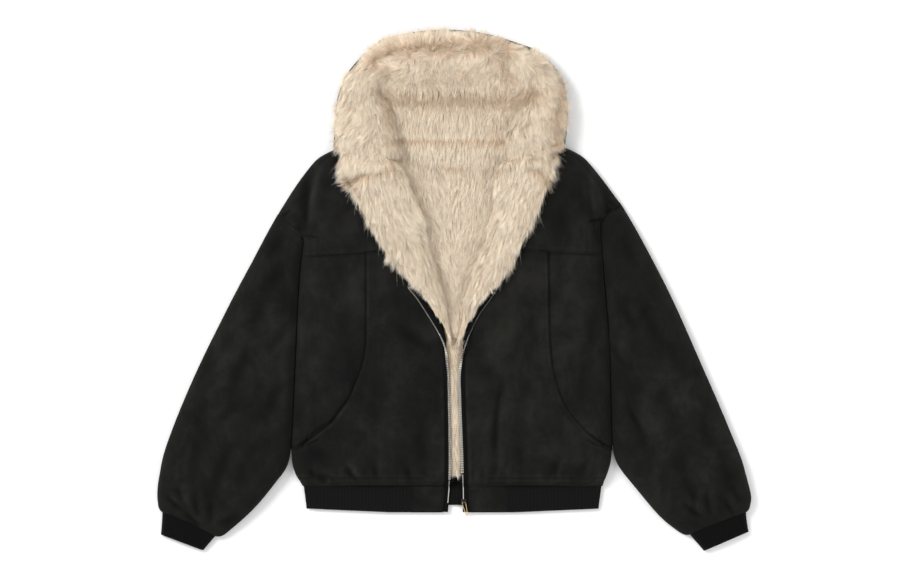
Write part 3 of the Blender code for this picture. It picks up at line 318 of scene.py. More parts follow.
def node_bmesh(*names):
    """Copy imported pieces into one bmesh, welded, with pairs of triangles joined."""
    bm = bmesh.new()
    for name in names:
        part = nodes[name].data.copy()
        part.transform(nodes[name].matrix_world)
        bm.from_mesh(part)
        bpy.data.meshes.remove(part)
    bmesh.ops.remove_doubles(bm, verts=bm.verts, dist=WELD)
    bmesh.ops.join_triangles(bm, faces=bm.faces, angle_face_threshold=PAIR_FOLD,
                             angle_shape_threshold=PAIR_SHAPE)
    return bm


def blocker(*names):
    """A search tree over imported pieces, to find what lies in front of a point."""
    points, faces = [], []
    for name in names:
        first = len(points)
        points += [nodes[name].matrix_world @ v.co for v in nodes[name].data.vertices]
        faces += [[first + i for i in p.vertices] for p in nodes[name].data.polygons]
    return BVHTree.FromPolygons(points, faces)


example = node_bmesh("sleeve_left")
print("a sleeve has", len(nodes["sleeve_left"].data.polygons), "triangles as packed, and",
      len(example.faces), "faces once they are joined")
example.free()

# %% [markdown]
# Only the outside of a wall is seen. Faces that look straight at the pile or at the panel
# below are dropped, which saves half of them and leaves no two surfaces in one place. Real
# seams are sewn with the edges one over the other. So the ends of a wall reach a little
# into the pieces beside them, and no light shows through between two panels.


# %% Drop hidden faces and lap the seams
NUDGE = 1e-4                     # metres off a face, so that its ray doesn't meet the face itself
OPPOSITE, ASLANT, UPRIGHT = -0.7, -0.3, 0.75
LAP_REACH, LOWEST_EDGE = 3.0, 0.1


def face_ray(tree, face, reach):
    """What a ray from the middle of a face meets within "reach", and its normal there."""
    start = face.calc_center_median() + face.normal * NUDGE
    hit, normal, _, _ = tree.ray_cast(start, face.normal, reach * MM)
    return hit, normal


def drop_covered(bm, cover, reach):
    """Delete faces that look straight at a covering surface closer than "reach"."""
    tree = blocker(*cover)
    covered = []
    for face in bm.faces:
        hit, normal = face_ray(tree, face, reach)
        if hit and normal.dot(face.normal) < OPPOSITE:
            covered.append(face)
    bmesh.ops.delete(bm, geom=covered, context="FACES")
    return len(covered)


def lap_seams(bm, neighbours, lap=1.6, drop=0.3):
    """Let the ends of a wall reach a little into the pieces beside them, so no gap shows."""
    tree = blocker(*neighbours)
    ways = {}
    for face in bm.faces:
        hit, normal = face_ray(tree, face, LAP_REACH)
        if hit and abs(face.normal.z) < UPRIGHT and normal.dot(face.normal) < ASLANT:
            for v in face.verts:
                ways[v] = ways.get(v, Vector()) + face.normal
    for v, way in ways.items():
        way.z = 0
        v.co += way.normalized() * lap * MM
        v.co.z = max(v.co.z - drop * MM, LOWEST_EDGE * MM)


example = node_bmesh("hood_shell_crown")
print("the hood's crown hides", drop_covered(example, ["hood_fur_crown", "hood_fur_back"], 8),
      "faces under its pile")
example.free()

# %% [markdown]
# The coarse copy becomes a cage for a Subdivision Surface, which rounds it as a stuffed
# panel is rounded. Edges where the wall turns sharply are creased, so that a seam stays
# where it is. The modifier is applied at once, because the next steps move single points.
# numpy reads and writes all the points of a mesh in one go, far faster than a loop does.


# %% Smooth the copy, and read and write its points
def smooth_copy(name, bm, levels, crease_angle=40.0):
    """Turn a bmesh into an object, smoothed by a Subdivision Surface that is applied."""
    creases = bm.edges.layers.float.new("crease_edge")
    for edge in bm.edges:
        if len(edge.link_faces) == 2 and edge.calc_face_angle() > math.radians(crease_angle):
            edge[creases] = 1.0
    rough = bpy.data.meshes.new(name + "_rough")
    bm.to_mesh(rough)
    bm.free()
    cage = add_object(name + "_rough", rough)
    surface = cage.modifiers.new("smooth", "SUBSURF")
    surface.levels = levels
    surface.boundary_smooth = "PRESERVE_CORNERS"
    bpy.context.view_layer.update()
    evaluated = cage.evaluated_get(bpy.context.evaluated_depsgraph_get())
    mesh = bpy.data.meshes.new_from_object(evaluated)
    mesh.name = name
    bpy.data.objects.remove(cage)
    mesh.materials.clear()
    mesh.shade_smooth()
    return add_object(name, mesh)


def get_points(mesh):
    """A mesh's points in millimetres."""
    points = np.empty(len(mesh.vertices) * 3)
    mesh.vertices.foreach_get("co", points)
    return points.reshape(-1, 3) / MM


def set_points(mesh, points):
    """Write points in millimetres back to a mesh."""
    mesh.vertices.foreach_set("co", (points * MM).ravel())
    mesh.update()


def get_normals(mesh):
    """The direction that the surface faces at each of a mesh's points."""
    normals = np.empty(len(mesh.vertices) * 3)
    mesh.vertex_normals.foreach_get("vector", normals)
    return normals.reshape(-1, 3)


def triangle_count(mesh):
    """How many triangles a mesh has once its faces are split."""
    return sum(p.loop_total - 2 for p in mesh.polygons)


print("packed, the jacket has", sum(triangle_count(n.data) for n in nodes.values()), "triangles")

# %% [markdown]
# ## Hills and creases
#
# Thick lined cloth lies in low, soft hills. They could be sculpted by hand, or come out of
# a cloth simulation, which falls differently each time and never quite where the photo has
# them. Heights over the plan are written here instead. For the hills, a grid of random
# heights is blended smoothly between its points.


# %% Soft hills
GRID = 64                        # the heights repeat after so many hills


def hills(x, y, size, seed):
    """Smooth random hills about "size" wide, from -1 to 1."""
    heights = np.random.default_rng(seed).uniform(-1, 1, (GRID, GRID))
    u, v = x / size + GRID // 2, y / size + GRID // 2
    i, j = np.floor(u).astype(int), np.floor(v).astype(int)
    fu, fv = u - i, v - j
    fu, fv = fu * fu * (3 - 2 * fu), fv * fv * (3 - 2 * fv)
    west, east, south, north = i % GRID, (i + 1) % GRID, j % GRID, (j + 1) % GRID
    low = heights[west, south] * (1 - fu) + heights[east, south] * fu
    high = heights[west, north] * (1 - fu) + heights[east, north] * fu
    return low * (1 - fv) + high * fv


sample_x, sample_y = np.meshgrid(np.linspace(-270, 270, 200), np.linspace(-320, 200, 200))
sample = hills(sample_x, sample_y, 62, 10)
print("hills on a front go from %.2f to %.2f" % (sample.min(), sample.max()))

# %% [markdown]
# A crease shows where cloth is pulled: from the armholes, along the sleeves and down into
# the hem. Each one is a row of a table with its two ends, its width and its depth. It bows
# a little, fades towards its ends, and has a trough with a low ridge beside it, as a fold
# pushed up by a thumb has.


# %% What a crease adds
BOW = 0.06                       # how far a crease bows, as a share of its length
RIDGE_AWAY, RIDGE_WIDTH = 1.6, 1.2           # of the trough's width
RIDGE_HEIGHT, FADE = 0.6, 0.7
Crease = namedtuple("Crease", "x0 y0 x1 y1 width depth")


def crease_height(x, y, creases):
    """The height that a list of creases adds at each place of the plan."""
    total = np.zeros_like(x)
    for c in creases:
        length = math.hypot(c.x1 - c.x0, c.y1 - c.y0)
        ux, uy = (c.x1 - c.x0) / length, (c.y1 - c.y0) / length
        along = ((x - c.x0) * ux + (y - c.y0) * uy) / length
        fade = np.sin(np.pi * np.clip(along, 0, 1)) ** FADE
        across = (y - c.y0) * ux - (x - c.x0) * uy + BOW * length * fade
        trough = np.exp(-(across / c.width) ** 2)
        ridge = np.exp(-((across - RIDGE_AWAY * c.width) / (RIDGE_WIDTH * c.width)) ** 2)
        total += c.depth * fade * (RIDGE_HEIGHT * ridge - trough)
    return total


sample = crease_height(sample_x, sample_y, [Crease(-100, 0, -60, -120, 12, 3.0)])
print("a crease 3 mm deep goes from %.2f to %.2f mm" % (sample.min(), sample.max()))

# %% [markdown]
# The tables place every crease of the fronts and of the sleeves. The long ones hang from
# the shoulders and the armholes, and the short deep ones stand just above the cuffs and at
# the two ends of the hem, where the cloth is gathered most.

# %% The creases of the fronts and the sleeves
FRONT_CREASES = [
    Crease(-186, -298, -164, -325, 6, 4.0), Crease(-251, -303, -207, -323, 7, 4.0),
    Crease(-225, -76, -259, -139, 14, 2.5), Crease(-101, -51, -28, -102, 13, 2.5),
    Crease(-59, -17, -25, -94, 10, 2.0), Crease(-118, -153, -140, -306, 14, 2.0),
    Crease(-42, -187, -50, -320, 12, 2.0), Crease(-212, 34, -229, -68, 16, 2.0),
    Crease(-178, -17, -195, -102, 12, 1.5), Crease(-246, -178, -269, -238, 12, 2.5),
    Crease(-93, -275, -72, -323, 7, 2.5), Crease(-140, -292, -127, -326, 6, 2.5),
    Crease(86, -146, 74, -316, 9, 2.8), Crease(145, -17, 128, -128, 14, 2.0),
    Crease(205, 0, 190, -94, 14, 2.0), Crease(234, -102, 213, -187, 12, 2.0),
    Crease(43, -68, 77, -187, 14, 2.0), Crease(111, -255, 128, -323, 9, 2.5),
    Crease(179, -280, 166, -326, 7, 3.0), Crease(222, -292, 205, -328, 7, 3.0),
    Crease(247, -17, 234, -85, 12, 2.0), Crease(40, -221, 37, -320, 10, 1.8),
    Crease(-212, 196, -225, 128, 13, 2.0), Crease(-263, 110, -276, 68, 9, 2.5),
    Crease(-186, 144, -203, 76, 14, 1.8), Crease(-232, 128, -249, 68, 10, 2.0),
    Crease(210, 187, 222, 128, 13, 2.0), Crease(256, 128, 247, 68, 9, 2.5),
    Crease(179, 144, 193, 76, 14, 1.8),
    Crease(-240, 218, -254, 118, 9, 5.0), Crease(-252, 132, -266, 40, 8, 3.0),
    Crease(264, 40, 241, 216, 9, 5.0),
]
SLEEVE_CREASES = [
    Crease(-339, -94, -382, -187, 12, 3.0), Crease(-356, -187, -407, -238, 11, 3.0),
    Crease(-317, -17, -344, -76, 12, 2.5), Crease(-283, -153, -327, -230, 13, 3.0),
    Crease(-424, -238, -446, -332, 13, 3.0), Crease(-297, 34, -327, -17, 12, 2.5),
    Crease(-269, -48, -314, -105, 10, 3.0), Crease(-373, -255, -409, -357, 11, 3.0),
    Crease(-327, -255, -365, -340, 12, 2.5), Crease(-402, -94, -424, -162, 14, 2.2),
    Crease(-288, 94, -314, 48, 9, 2.0), Crease(315, -17, 363, -102, 12, 3.0),
    Crease(341, -153, 400, -255, 13, 3.0), Crease(417, -187, 445, -286, 13, 3.0),
    Crease(285, -17, 315, -76, 9, 3.0), Crease(358, -68, 400, -153, 12, 2.5),
    Crease(298, -187, 341, -280, 12, 2.8), Crease(383, -280, 417, -366, 11, 3.0),
    Crease(451, -255, 473, -343, 12, 2.6), Crease(285, 94, 315, 34, 9, 2.2),
    Crease(264, -85, 305, -139, 9, 3.0), Crease(400, -102, 426, -170, 13, 2.0),
    Crease(-488, -348, -458, -374, 5, 4.0), Crease(-458, -372, -428, -402, 5, 4.0),
    Crease(-404, -396, -368, -380, 6, 3.5), Crease(-470, -330, -455, -372, 6, 3.5),
    Crease(-440, -340, -432, -388, 6, 3.0), Crease(-410, -350, -412, -394, 6, 3.0),
    Crease(386, -358, 421, -384, 6, 4.0), Crease(458, -352, 476, -380, 6, 4.0),
    Crease(428, -330, 436, -384, 6, 3.5), Crease(405, -340, 410, -382, 6, 3.0),
    Crease(470, -330, 488, -362, 6, 3.0),
]
print("placed", len(FRONT_CREASES), "creases on the fronts and", len(SLEEVE_CREASES),
      "on the sleeves")

# %% [markdown]
# Above the hem band the fronts are gathered all along their lower edge. No gather matters
# by itself, so nobody has to place them. Dice choose how far apart they stand, and how long,
# wide and deep they are. The dice have a fixed seed, and fall the same way on every run.


# %% Gathers above the hem band
GATHERS_FROM, GATHERS_TO = 34.0, 250
GATHER_FOOT, HEM_SEAM = -326, -334


def hem_gathers(seed):
    """Short creases where the fronts are gathered into the hem band."""
    dice = np.random.default_rng(seed)
    creases = []
    for side in (-1, 1):
        x = GATHERS_FROM
        while x < GATHERS_TO:
            length = dice.uniform(16, 42)
            lean = dice.uniform(-9, 9)
            creases.append(Crease(side * x + lean, GATHER_FOOT + length, side * x, HEM_SEAM,
                                  dice.uniform(3.5, 6), dice.uniform(1.2, 2.6)))
            x += dice.uniform(13, 24)
    return creases


front_creases = FRONT_CREASES + hem_gathers(5)
print("gathered the hem in", len(front_creases) - len(FRONT_CREASES), "places")

# %% [markdown]
# ## The suede panels
#
# Where a panel ends at a seam, its edge turns down a little, as pressed cloth does, and its
# folds fade out. Both need to know how far each point lies from the edges of its panel. An
# edge counts when only one face uses it, or when it was creased. Walking along the mesh
# would do, but a search tree of the points on those edges answers at once.


# %% How far a point lies from an edge
def edge_faces(mesh):
    """How many faces use each edge of a mesh, and the numbers of its two ends."""
    counts = np.zeros(len(mesh.edges), int)
    loops = np.empty(len(mesh.loops), int)
    mesh.loops.foreach_get("edge_index", loops)
    np.add.at(counts, loops, 1)
    ends = np.empty(len(mesh.edges) * 2, int)
    mesh.edges.foreach_get("vertices", ends)
    return counts, ends.reshape(-1, 2)


def point_tree(points):
    """A search tree that finds the nearest of some points, and its number."""
    tree = KDTree(len(points))
    for number, point in enumerate(points):
        tree.insert(point, number)
    tree.balance()
    return tree


def edge_distance(mesh, reach):
    """How far each point lies from the edges of its panel, up to "reach"."""
    counts, ends = edge_faces(mesh)
    sharp = np.zeros(len(mesh.edges), bool)
    creases = mesh.attributes.get("crease_edge")
    if creases:
        values = np.empty(len(mesh.edges), np.float32)
        creases.data.foreach_get("value", values)
        sharp = values > 0.5
    points = get_points(mesh)
    rim = np.unique(ends[sharp | (counts == 1)])
    tree = point_tree(points[rim])
    return np.array([min(tree.find(p)[2], reach) if len(rim) else reach for p in points])


counts, _ = edge_faces(nodes["yoke_left"].data)
print("edges of the packed yoke that one face alone uses, before it is welded:",
      (counts == 1).sum())

# %% [markdown]
# Broad soft shade and light lie where the cloth turns a little away from the light or towards
# it, and they are painted into its colour. A wide shallow crease has the same form, so the broad
# painted shades and highlights are a table of creases that are read as tone, not as height.

# %% Broad painted shade and highlight
SHADES = [                       # broad soft painted shade, and painted highlight where the depth is negative
    Crease(-300, 112, -272, -60, 20, 0.45), Crease(-101, -66, -25, -108, 15, 0.35),
    Crease(-239, -258, -218, -302, 13, 0.35), Crease(-169, -250, -159, -290, 12, 0.3),
    Crease(-182, -297, -162, -327, 4, 0.8), Crease(-219, -310, -199, -325, 4, 0.5),
    Crease(70, -28, 18, -132, 16, 0.3), Crease(85, -145, 75, -320, 5, 0.4),
    Crease(241, 175, 262, 66, 13, 0.35), Crease(311, -80, 316, -262, 18, 0.22),
    Crease(291, -185, 321, -240, 4, 0.4), Crease(-60, -150, -40, -330, 9, 0.2),
    Crease(-230, -160, -250, -210, 16, 0.25), Crease(120, -180, 150, -290, 18, -0.22),
    Crease(-230, 20, -200, -180, 24, -0.22), Crease(190, 40, 200, -120, 20, -0.22),
    Crease(-110, -180, -100, -310, 18, -0.25), Crease(-350, -60, -410, -200, 26, -0.15),
    Crease(340, -40, 420, -220, 30, -0.22), Crease(430, -240, 470, -330, 22, -0.2),
    Crease(-230, 216, -252, 90, 4, 0.55), Crease(228, 204, 250, 70, 4, 0.5),
    Crease(-250, 90, -262, -20, 4, 0.4), Crease(250, 70, 261, -60, 4, 0.4),
    Crease(-140, 190, -200, 80, 40, 0.2), Crease(-90, 20, -70, -60, 22, 0.2),
    Crease(-156, -118, -177, -190, 2.6, 0.5), Crease(-172, -180, -212, -230, 3.4, 0.7),
    Crease(-198, -218, -264, -266, 3.4, 0.8),
    Crease(162, -118, 178, -186, 2.2, 0.4), Crease(176, -184, 212, -232, 2.6, 0.5),
    Crease(205, -226, 262, -263, 2.6, 0.5),
]
# the print counts the places of broad painted shade and highlight
print("brushed the nap in", len(SHADES), "places")

# %% [markdown]
# The painted tone also follows the cloth's form: painted shade in the troughs, at the seams
# and on the sides, and painted highlight on the ridges and just beside a seam. It is stored as a
# colour named "nap" on each point, which the suede multiplies in. Light alone would hardly show
# a fold in cloth as black as this.


# %% Paint shade and highlight into the cloth's colour
# a painted shadow line along a seam, and a painted highlight just beside it
SEAM_DARK, SEAM_LIGHT = 0.45, 0.25
SEAM_WIDTH, HIGHLIGHT_AT = 2.0, 4.5             # millimetres, the second from the seam to the painted highlight
DARKEST_TONE, LIGHTEST_TONE = 0.25, 2.2


def paint(mesh, name, rgb):
    """Store a colour on each point, for a material to read by its name."""
    attribute = mesh.color_attributes.new(name, "FLOAT_COLOR", "POINT")
    attribute.data.foreach_set("color", np.column_stack([rgb, np.ones(len(rgb))]).ravel())


def paint_shade_and_highlight(mesh, creases, edge):
    """Paint shade and highlight into the colour: dark in troughs, at seams and on the sides, lighter
    on ridges.
    """
    points, normals = get_points(mesh), get_normals(mesh)
    x, y, _ = points.T
    # painted shade in the troughs of the creases, and painted highlight on their ridges
    tone = 1 + 0.16 * np.clip(crease_height(x, y, creases), -4, 2.5)
    # the table's broad painted shade and highlight
    tone += crease_height(x, y, SHADES)
    # a painted shadow line at each seam, and a painted highlight just beside it
    tone *= 1 - SEAM_DARK * np.exp(-(edge / SEAM_WIDTH) ** 2)
    tone += SEAM_LIGHT * np.exp(-((edge - HIGHLIGHT_AT) / SEAM_WIDTH) ** 2)
    # painted shade on the sides, which turn away from the light
    tone *= 0.5 + 0.5 * np.clip(normals[:, 2] * 1.3, 0, 1)
    tone = np.clip(tone, DARKEST_TONE, LIGHTEST_TONE)
    # the colour named "nap" holds all this painted shade and highlight
    paint(mesh, "nap", np.column_stack([tone] * 3))


# the print gives the tone of the painted shadow at a seam and of the painted highlight beside it
print("at a seam the tone is %.2f, and where hands rub it beside the seam %.2f"
      % (1 - SEAM_DARK, 1 + SEAM_LIGHT))

# %% [markdown]
# A sleeve lies against the side of the body and sinks in beside it, in a long shallow
# valley. The side is a short table of places, and the valley follows the distance to the
# nearest of the straight lines between them.


# %% The side of the body
BodySide = namedtuple("BodySide", "x y")
BODY_SIDE = {"left": [BodySide(-300, 127), BodySide(-256, 88), BodySide(-263, 35),
                      BodySide(-267, -20), BodySide(-272, -120), BodySide(-278, -294)],
             "right": [BodySide(283, 148), BodySide(248, 114), BodySide(255, 60),
                       BodySide(261, -20), BodySide(266, -120), BodySide(268, -294)]}


def off_line(x, y, x0, y0, x1, y1):
    """How far each place of the plan lies from a straight line with two ends."""
    dx, dy = x1 - x0, y1 - y0
    along = np.clip(((x - x0) * dx + (y - y0) * dy) / (dx * dx + dy * dy), 0, 1)
    return np.hypot(x - x0 - along * dx, y - y0 - along * dy)


def body_distance(x, y):
    """How far places of a sleeve lie from the side of the body."""
    line = BODY_SIDE["left" if x.mean() < 0 else "right"]
    return np.min([off_line(x, y, *a, *b) for a, b in zip(line, line[1:])], axis=0)


elbow = body_distance(np.array([380.0]), np.array([-120.0]))[0]
print("an elbow lies %.0f mm from the body" % elbow)

# %% [markdown]
# Now the cloth settles. Its points are pushed out a little, because the lining fills the
# panel. Hills of three sizes and the creases are added where the cloth faces up, calmer near
# a seam and near the floor, and the edges are turned down.


# %% Settle the cloth
WIDE_HILLS, MIDDLE_HILLS, SMALL_HILLS = 62, 27, 9            # how wide they are
SMALL_RISE, EDGE_SINK, EDGE_REACH = 0.35, 1.8, 12.0
EDGE_CALM, EDGE_TURN = 8, 2.4                # how far folds stay calm, and the edge turns down
VALLEY_DEPTH, VALLEY_WIDTH = 5.0, 9


def settle_cloth(obj, creases, big, plump, seed):
    """Lay hills and creases into the upper side of a panel, and turn its edges down."""
    mesh = obj.data
    points, normals = get_points(mesh), get_normals(mesh)
    points[:, :2] += normals[:, :2] * plump
    x, y, z = points.T
    rise = crease_height(x, y, creases)
    rise += big * hills(x, y, WIDE_HILLS, seed) + 0.6 * big * hills(x, y, MIDDLE_HILLS, seed + 1)
    rise += SMALL_RISE * hills(x, y, SMALL_HILLS, seed + 2)
    facing_up = np.clip(normals[:, 2] * 1.6 - 0.1, 0, 1)
    room = np.clip((z - 2) / 12, 0, 1)
    edge = edge_distance(mesh, EDGE_REACH)
    calm = np.clip(edge / EDGE_CALM, 0, 1)
    points[:, 2] += rise * facing_up * room * calm
    points[:, 2] -= EDGE_SINK * np.exp(-(edge / EDGE_TURN) ** 2) * facing_up
    if "sleeve" in obj.name:
        valley = VALLEY_DEPTH * np.exp(-(body_distance(x, y) / VALLEY_WIDTH) ** 2)
        points[:, 2] -= valley * facing_up * room
    set_points(mesh, points)
    return edge


print("folds have their full height", EDGE_CALM, "mm from a seam, and the edge sinks by", EDGE_SINK)

# %% [markdown]
# The fronts are a centre panel, a side panel that runs in under its rolled edge, and a yoke
# with the dropped shoulder. The sleeves are flat tubes, gathered into the cuffs. Each row of
# the table names a panel, what hides its inside, how often it is subdivided, its finish and
# its folds.

# %% The list of panels
SHELL_NODES = [kind + side for side in SIDES for kind in (
    "front_centre_", "front_side_", "yoke_", "sleeve_", "hem_rib_", "hem_facing_", "cuff_",
    "hood_shell_")] + ["hood_shell_crown"]
Panel = namedtuple("Panel", "node cover levels material slot creases hills")
PANELS = [Panel("hood_shell_crown", ["hood_fur_crown", "hood_fur_back"], 3, SUEDE, "suede", [], 1.0),
          Panel("back_panel", [], 0, SUEDE, "suede", [], 0.0),
          Panel("hem_back", [], 0, KNIT["hem"], "rib", [], 0.0)]
for label in SIDES:
    under = ["front_lining_" + label, "back_lining"]
    centre, side_panel = "front_centre_" + label, "front_side_" + label
    PANELS += [
        Panel(centre, under + [side_panel], 3, SUEDE, "suede", front_creases, 1.3),
        Panel(side_panel, under, 2, SUEDE, "suede", front_creases, 1.3),
        Panel("yoke_" + label, under, 2, SUEDE, "suede", front_creases, 1.3),
        Panel("sleeve_" + label, ["sleeve_" + label], 3, SUEDE, "suede", SLEEVE_CREASES, 1.6),
        Panel("lapel_shell_" + label, ["yoke_" + label, centre, "lapel_fur_" + label], 1,
              SUEDE, "suede", [], 0.0),
        Panel("hood_shell_" + label, ["hood_fur_" + label], 3, SUEDE, "suede", [], 1.0),
        Panel("hem_rib_" + label, [], 1, KNIT["hem"], "rib", [], 0.0),
        Panel("hem_facing_" + label, [], 3, SUEDE, "suede", [], 0.5),
        Panel("cuff_" + label, ["cuff_" + label], 2, KNIT[label], "rib", [], 0.0),
    ]
print("the jacket's shell has", len(PANELS), "panels")

# %% [markdown]
# The back is the same cloth under all of it. It shows only beyond the fronts, at the sides,
# and there it would end in a straight cut edge that floats beside the sleeves. So its sides
# are drawn out in under them.


# %% Tuck the back in under the sleeves
SIDE_TUCK = 15.0                 # the back reaches this far in under the sleeves


def tuck_back(mesh):
    """Draw the sides of the back out in under the sleeves, less at the hem and the shoulder."""
    points = get_points(mesh)
    outer = np.abs(points[:, 0]) > 200
    below = np.clip((105 - points[:, 1]) / 25, 0.4, 1)
    tuck = SIDE_TUCK * np.clip((points[:, 1] + 290) / 30, 0, 1) * outer * below
    points[:, 0] += np.sign(points[:, 0]) * tuck
    set_points(mesh, points)


print("the back is drawn out by", SIDE_TUCK, "mm on each side")

# %% [markdown]
# With these helpers every panel is made in the same way: copied, freed from its hidden
# faces, lapped at the seams, smoothed, settled and given painted shade and highlight. A
# sleeve laps furthest, because its armhole carries weight. Each piece of cloth takes over
# from its imported solid.

# %% Make the panels
cloth, sewn = {}, {}
for panel in PANELS:
    bm = node_bmesh(panel.node)
    if panel.cover:
        drop_covered(bm, panel.cover, 8)
    if "sleeve" in panel.node:
        lap_seams(bm, [n for n in SHELL_NODES if n != panel.node], lap=3.5, drop=0.6)
    elif "back" not in panel.node and "lapel" not in panel.node:
        lap_seams(bm, [n for n in SHELL_NODES if n != panel.node and "sleeve" not in n])
    rounded = any(kind in panel.node for kind in ("rib", "cuff", "hem_back", "sleeve", "yoke"))
    piece = smooth_copy(panel.node + "_cloth", bm, panel.levels, 70.0 if rounded else 40.0)
    piece.data.materials.append(panel.material)
    edge = np.full(len(piece.data.vertices), EDGE_REACH)
    if panel.hills:
        plump = 2.3 if "sleeve" in panel.node else 0.8
        edge = settle_cloth(piece, panel.creases, panel.hills, plump, seed=10 + len(cloth))
    if panel.node == "back_panel":
        tuck_back(piece.data)
    if panel.slot == "suede":
        paint_shade_and_highlight(piece.data, panel.creases, edge)
    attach(piece, "jacket")
    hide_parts(panel.node)
    cloth[panel.node] = piece
    print(piece.name, triangle_count(piece.data), "triangles")

# %% [markdown]
# ## The zip
#
# The tape is a fine black twill, and its diagonal ribs are a wave in the material. The teeth
# are bright nickel, the pins below them grey metal, the slider nearly black and its pull
# pale brass. All metals share one helper: worn metal is a little duller in some places, so
# noise changes its roughness and leaves its colour alone.


# %% Tape and metals
def make_tape():
    """Black woven tape with a diagonal twill."""
    material, tree, shader = principled("black_zip_tape", (0.0045, 0.0045, 0.0048), 0.95,
                                        Specular_IOR_Level=0.05)
    coordinates = tree.nodes.new("ShaderNodeTexCoord")
    twill = tree.nodes.new("ShaderNodeTexWave")
    twill.inputs["Scale"].default_value = 500
    twill.bands_direction = "DIAGONAL"
    tree.links.new(coordinates.outputs["Object"], twill.inputs["Vector"])
    add_bump(tree, shader, twill.outputs["Fac"], 0.2, 0.7)
    return material


def make_metal(name, color, roughness, lumps):
    """Plain metal, whose polish is worn in "lumps" places to the metre."""
    material, tree, shader = principled(name, color, roughness, Metallic=1.0)
    polish = [(0.3, (roughness * 0.7,) * 3), (0.7, (roughness * 1.4,) * 3)]
    ramp_color(tree, add_noise(tree, lumps, 4), polish, shader, "Roughness")
    return material


TAPE = make_tape()
NICKEL = make_metal("bright_nickel", (0.90, 0.87, 0.79), 0.34, 700)
STEEL = make_metal("grey_metal", (0.50, 0.50, 0.48), 0.34, 500)
DARK_STEEL = make_metal("dark_metal", (0.03, 0.03, 0.03), 0.5, 500)
BRASS = make_metal("pale_brass", (0.62, 0.47, 0.22), 0.36, 500)
print("made", [finish.name for finish in (TAPE, NICKEL, STEEL, DARK_STEEL, BRASS)])

# %% [markdown]
# Each half of the zip lies beside its front and rolls over at the chest, where the front is
# turned back. Its line is a short table of stations, with the angle that the tape has turned
# there. A Bezier curve with an array of teeth could follow it, but it twists where it
# pleases. A smooth line through the stations, worked out here, turns only as the table says.


# %% The line of the zip
Place = namedtuple("Place", "x y")
Station = namedtuple("Station", "x y z turn")
ZIP_LINE = {
    "left": [
        Station(12.0, -378.0, 7.4, 0), Station(9.0, -341.0, 7.4, 0), Station(8.8, -334.0, 8.4, 0),
        Station(8.6, -326.0, 16.8, 0), Station(8.1, -318.0, 23.0, 0),
        Station(7.7, -306.0, 26.6, 0), Station(7.6, -272.0, 27.8, 0),
        Station(8.9, -192.0, 27.8, 0), Station(10.0, -144.0, 28.6, 0),
        Station(12.3, -115.0, 33.5, 50), Station(15.6, -95.0, 37.2, 105),
        Station(20.8, -80.0, 36.0, 140), Station(30.6, -62.0, 32.8, 180),
        Station(45.0, -39.0, 31.6, 180), Station(61.7, -13.6, 31.8, 180),
        Station(77.0, 5.0, 32.0, 180)],
    "right": [
        Station(16.2, -378.0, 7.4, 0), Station(15.5, -341.0, 7.4, 0),
        Station(15.3, -334.0, 8.4, 0), Station(15.0, -326.0, 16.8, 0),
        Station(14.7, -318.0, 23.0, 0), Station(14.3, -306.0, 26.6, 0),
        Station(13.3, -272.0, 27.8, 0), Station(10.3, -192.0, 27.8, 0),
        Station(9.3, -144.0, 28.6, 0), Station(12.6, -115.0, 33.5, 50),
        Station(17.2, -97.0, 37.2, 105), Station(21.8, -82.0, 36.0, 140),
        Station(29.5, -64.0, 32.8, 180), Station(40.5, -42.0, 31.6, 180),
        Station(54.5, -22.0, 31.8, 180), Station(69.0, -3.0, 32.0, 180)],
}
TAPE_WIDTH, TAPE_THICK = 8.2, 1.2
TOOTH_PITCH, TOOTH_NOSE = 4.0, 2.0          # the nose reaches past the cord of the tape
ZIP_SHIFT = -0.6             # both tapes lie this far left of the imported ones


def smooth_line(points, step):
    """Walk a smooth curve through points, and return places "step" apart along it."""
    points = np.array(points, float)
    before = np.vstack([2 * points[0] - points[1], points[:-1]])
    after = np.vstack([points[1:], 2 * points[-1] - points[-2]])
    slopes = (after - before) / 2
    dense = []
    for a, b, sa, sb in zip(points[:-1], points[1:], slopes[:-1], slopes[1:]):
        t = np.linspace(0, 1, 20, endpoint=False)[:, None]
        dense.append(a * (2 * t**3 - 3 * t**2 + 1) + sa * (t**3 - 2 * t**2 + t)
                     + b * (3 * t**2 - 2 * t**3) + sb * (t**3 - t**2))
    dense = np.vstack(dense + [points[-1:]])
    run = np.concatenate([[0], np.cumsum(np.linalg.norm(np.diff(dense[:, :3], axis=0), axis=1))])
    places = np.arange(0, run[-1], step)
    return np.column_stack([np.interp(places, run, column) for column in dense.T])


print("the lines have", [len(smooth_line(ZIP_LINE[label], TOOTH_PITCH)) for label in SIDES],
      "places for teeth")

# %% [markdown]
# At each place along the line, three directions say how the tape lies there: along the zip,
# across the tape and out of its inner side. Everything on the zip is built on them, so the
# tape, its teeth and the pins roll over together.


# %% How the tape lies
def zip_frames(label, step):
    """Places along the zip, with the ways along it, across the tape and out of its inner side."""
    side = SIDES[label]
    line = smooth_line(ZIP_LINE[label], step)
    runs = np.gradient(line[:, :3], axis=0)
    frames = []
    for (x, y, z, turn), run in zip(line, runs):
        run = Vector((side * run[0], run[1], run[2])).normalized()
        flat_run = Vector((run.x, run.y, 0)).normalized()
        out = Vector((flat_run.y, -flat_run.x, 0)) * side
        angle = math.radians(turn)
        across = out * math.cos(angle) + Vector((0, 0, -1)) * math.sin(angle)
        inner = run.cross(across).normalized() * side
        frames.append((Vector((side * x + ZIP_SHIFT, y, z)), run, across, inner))
    return frames


turned = [inner.z for _, _, _, inner in zip_frames("left", TOOTH_PITCH)]
print("the tape's inner side turns from %.1f to %.1f (-1 is down, 1 is up)"
      % (turned[0], turned[-1]))

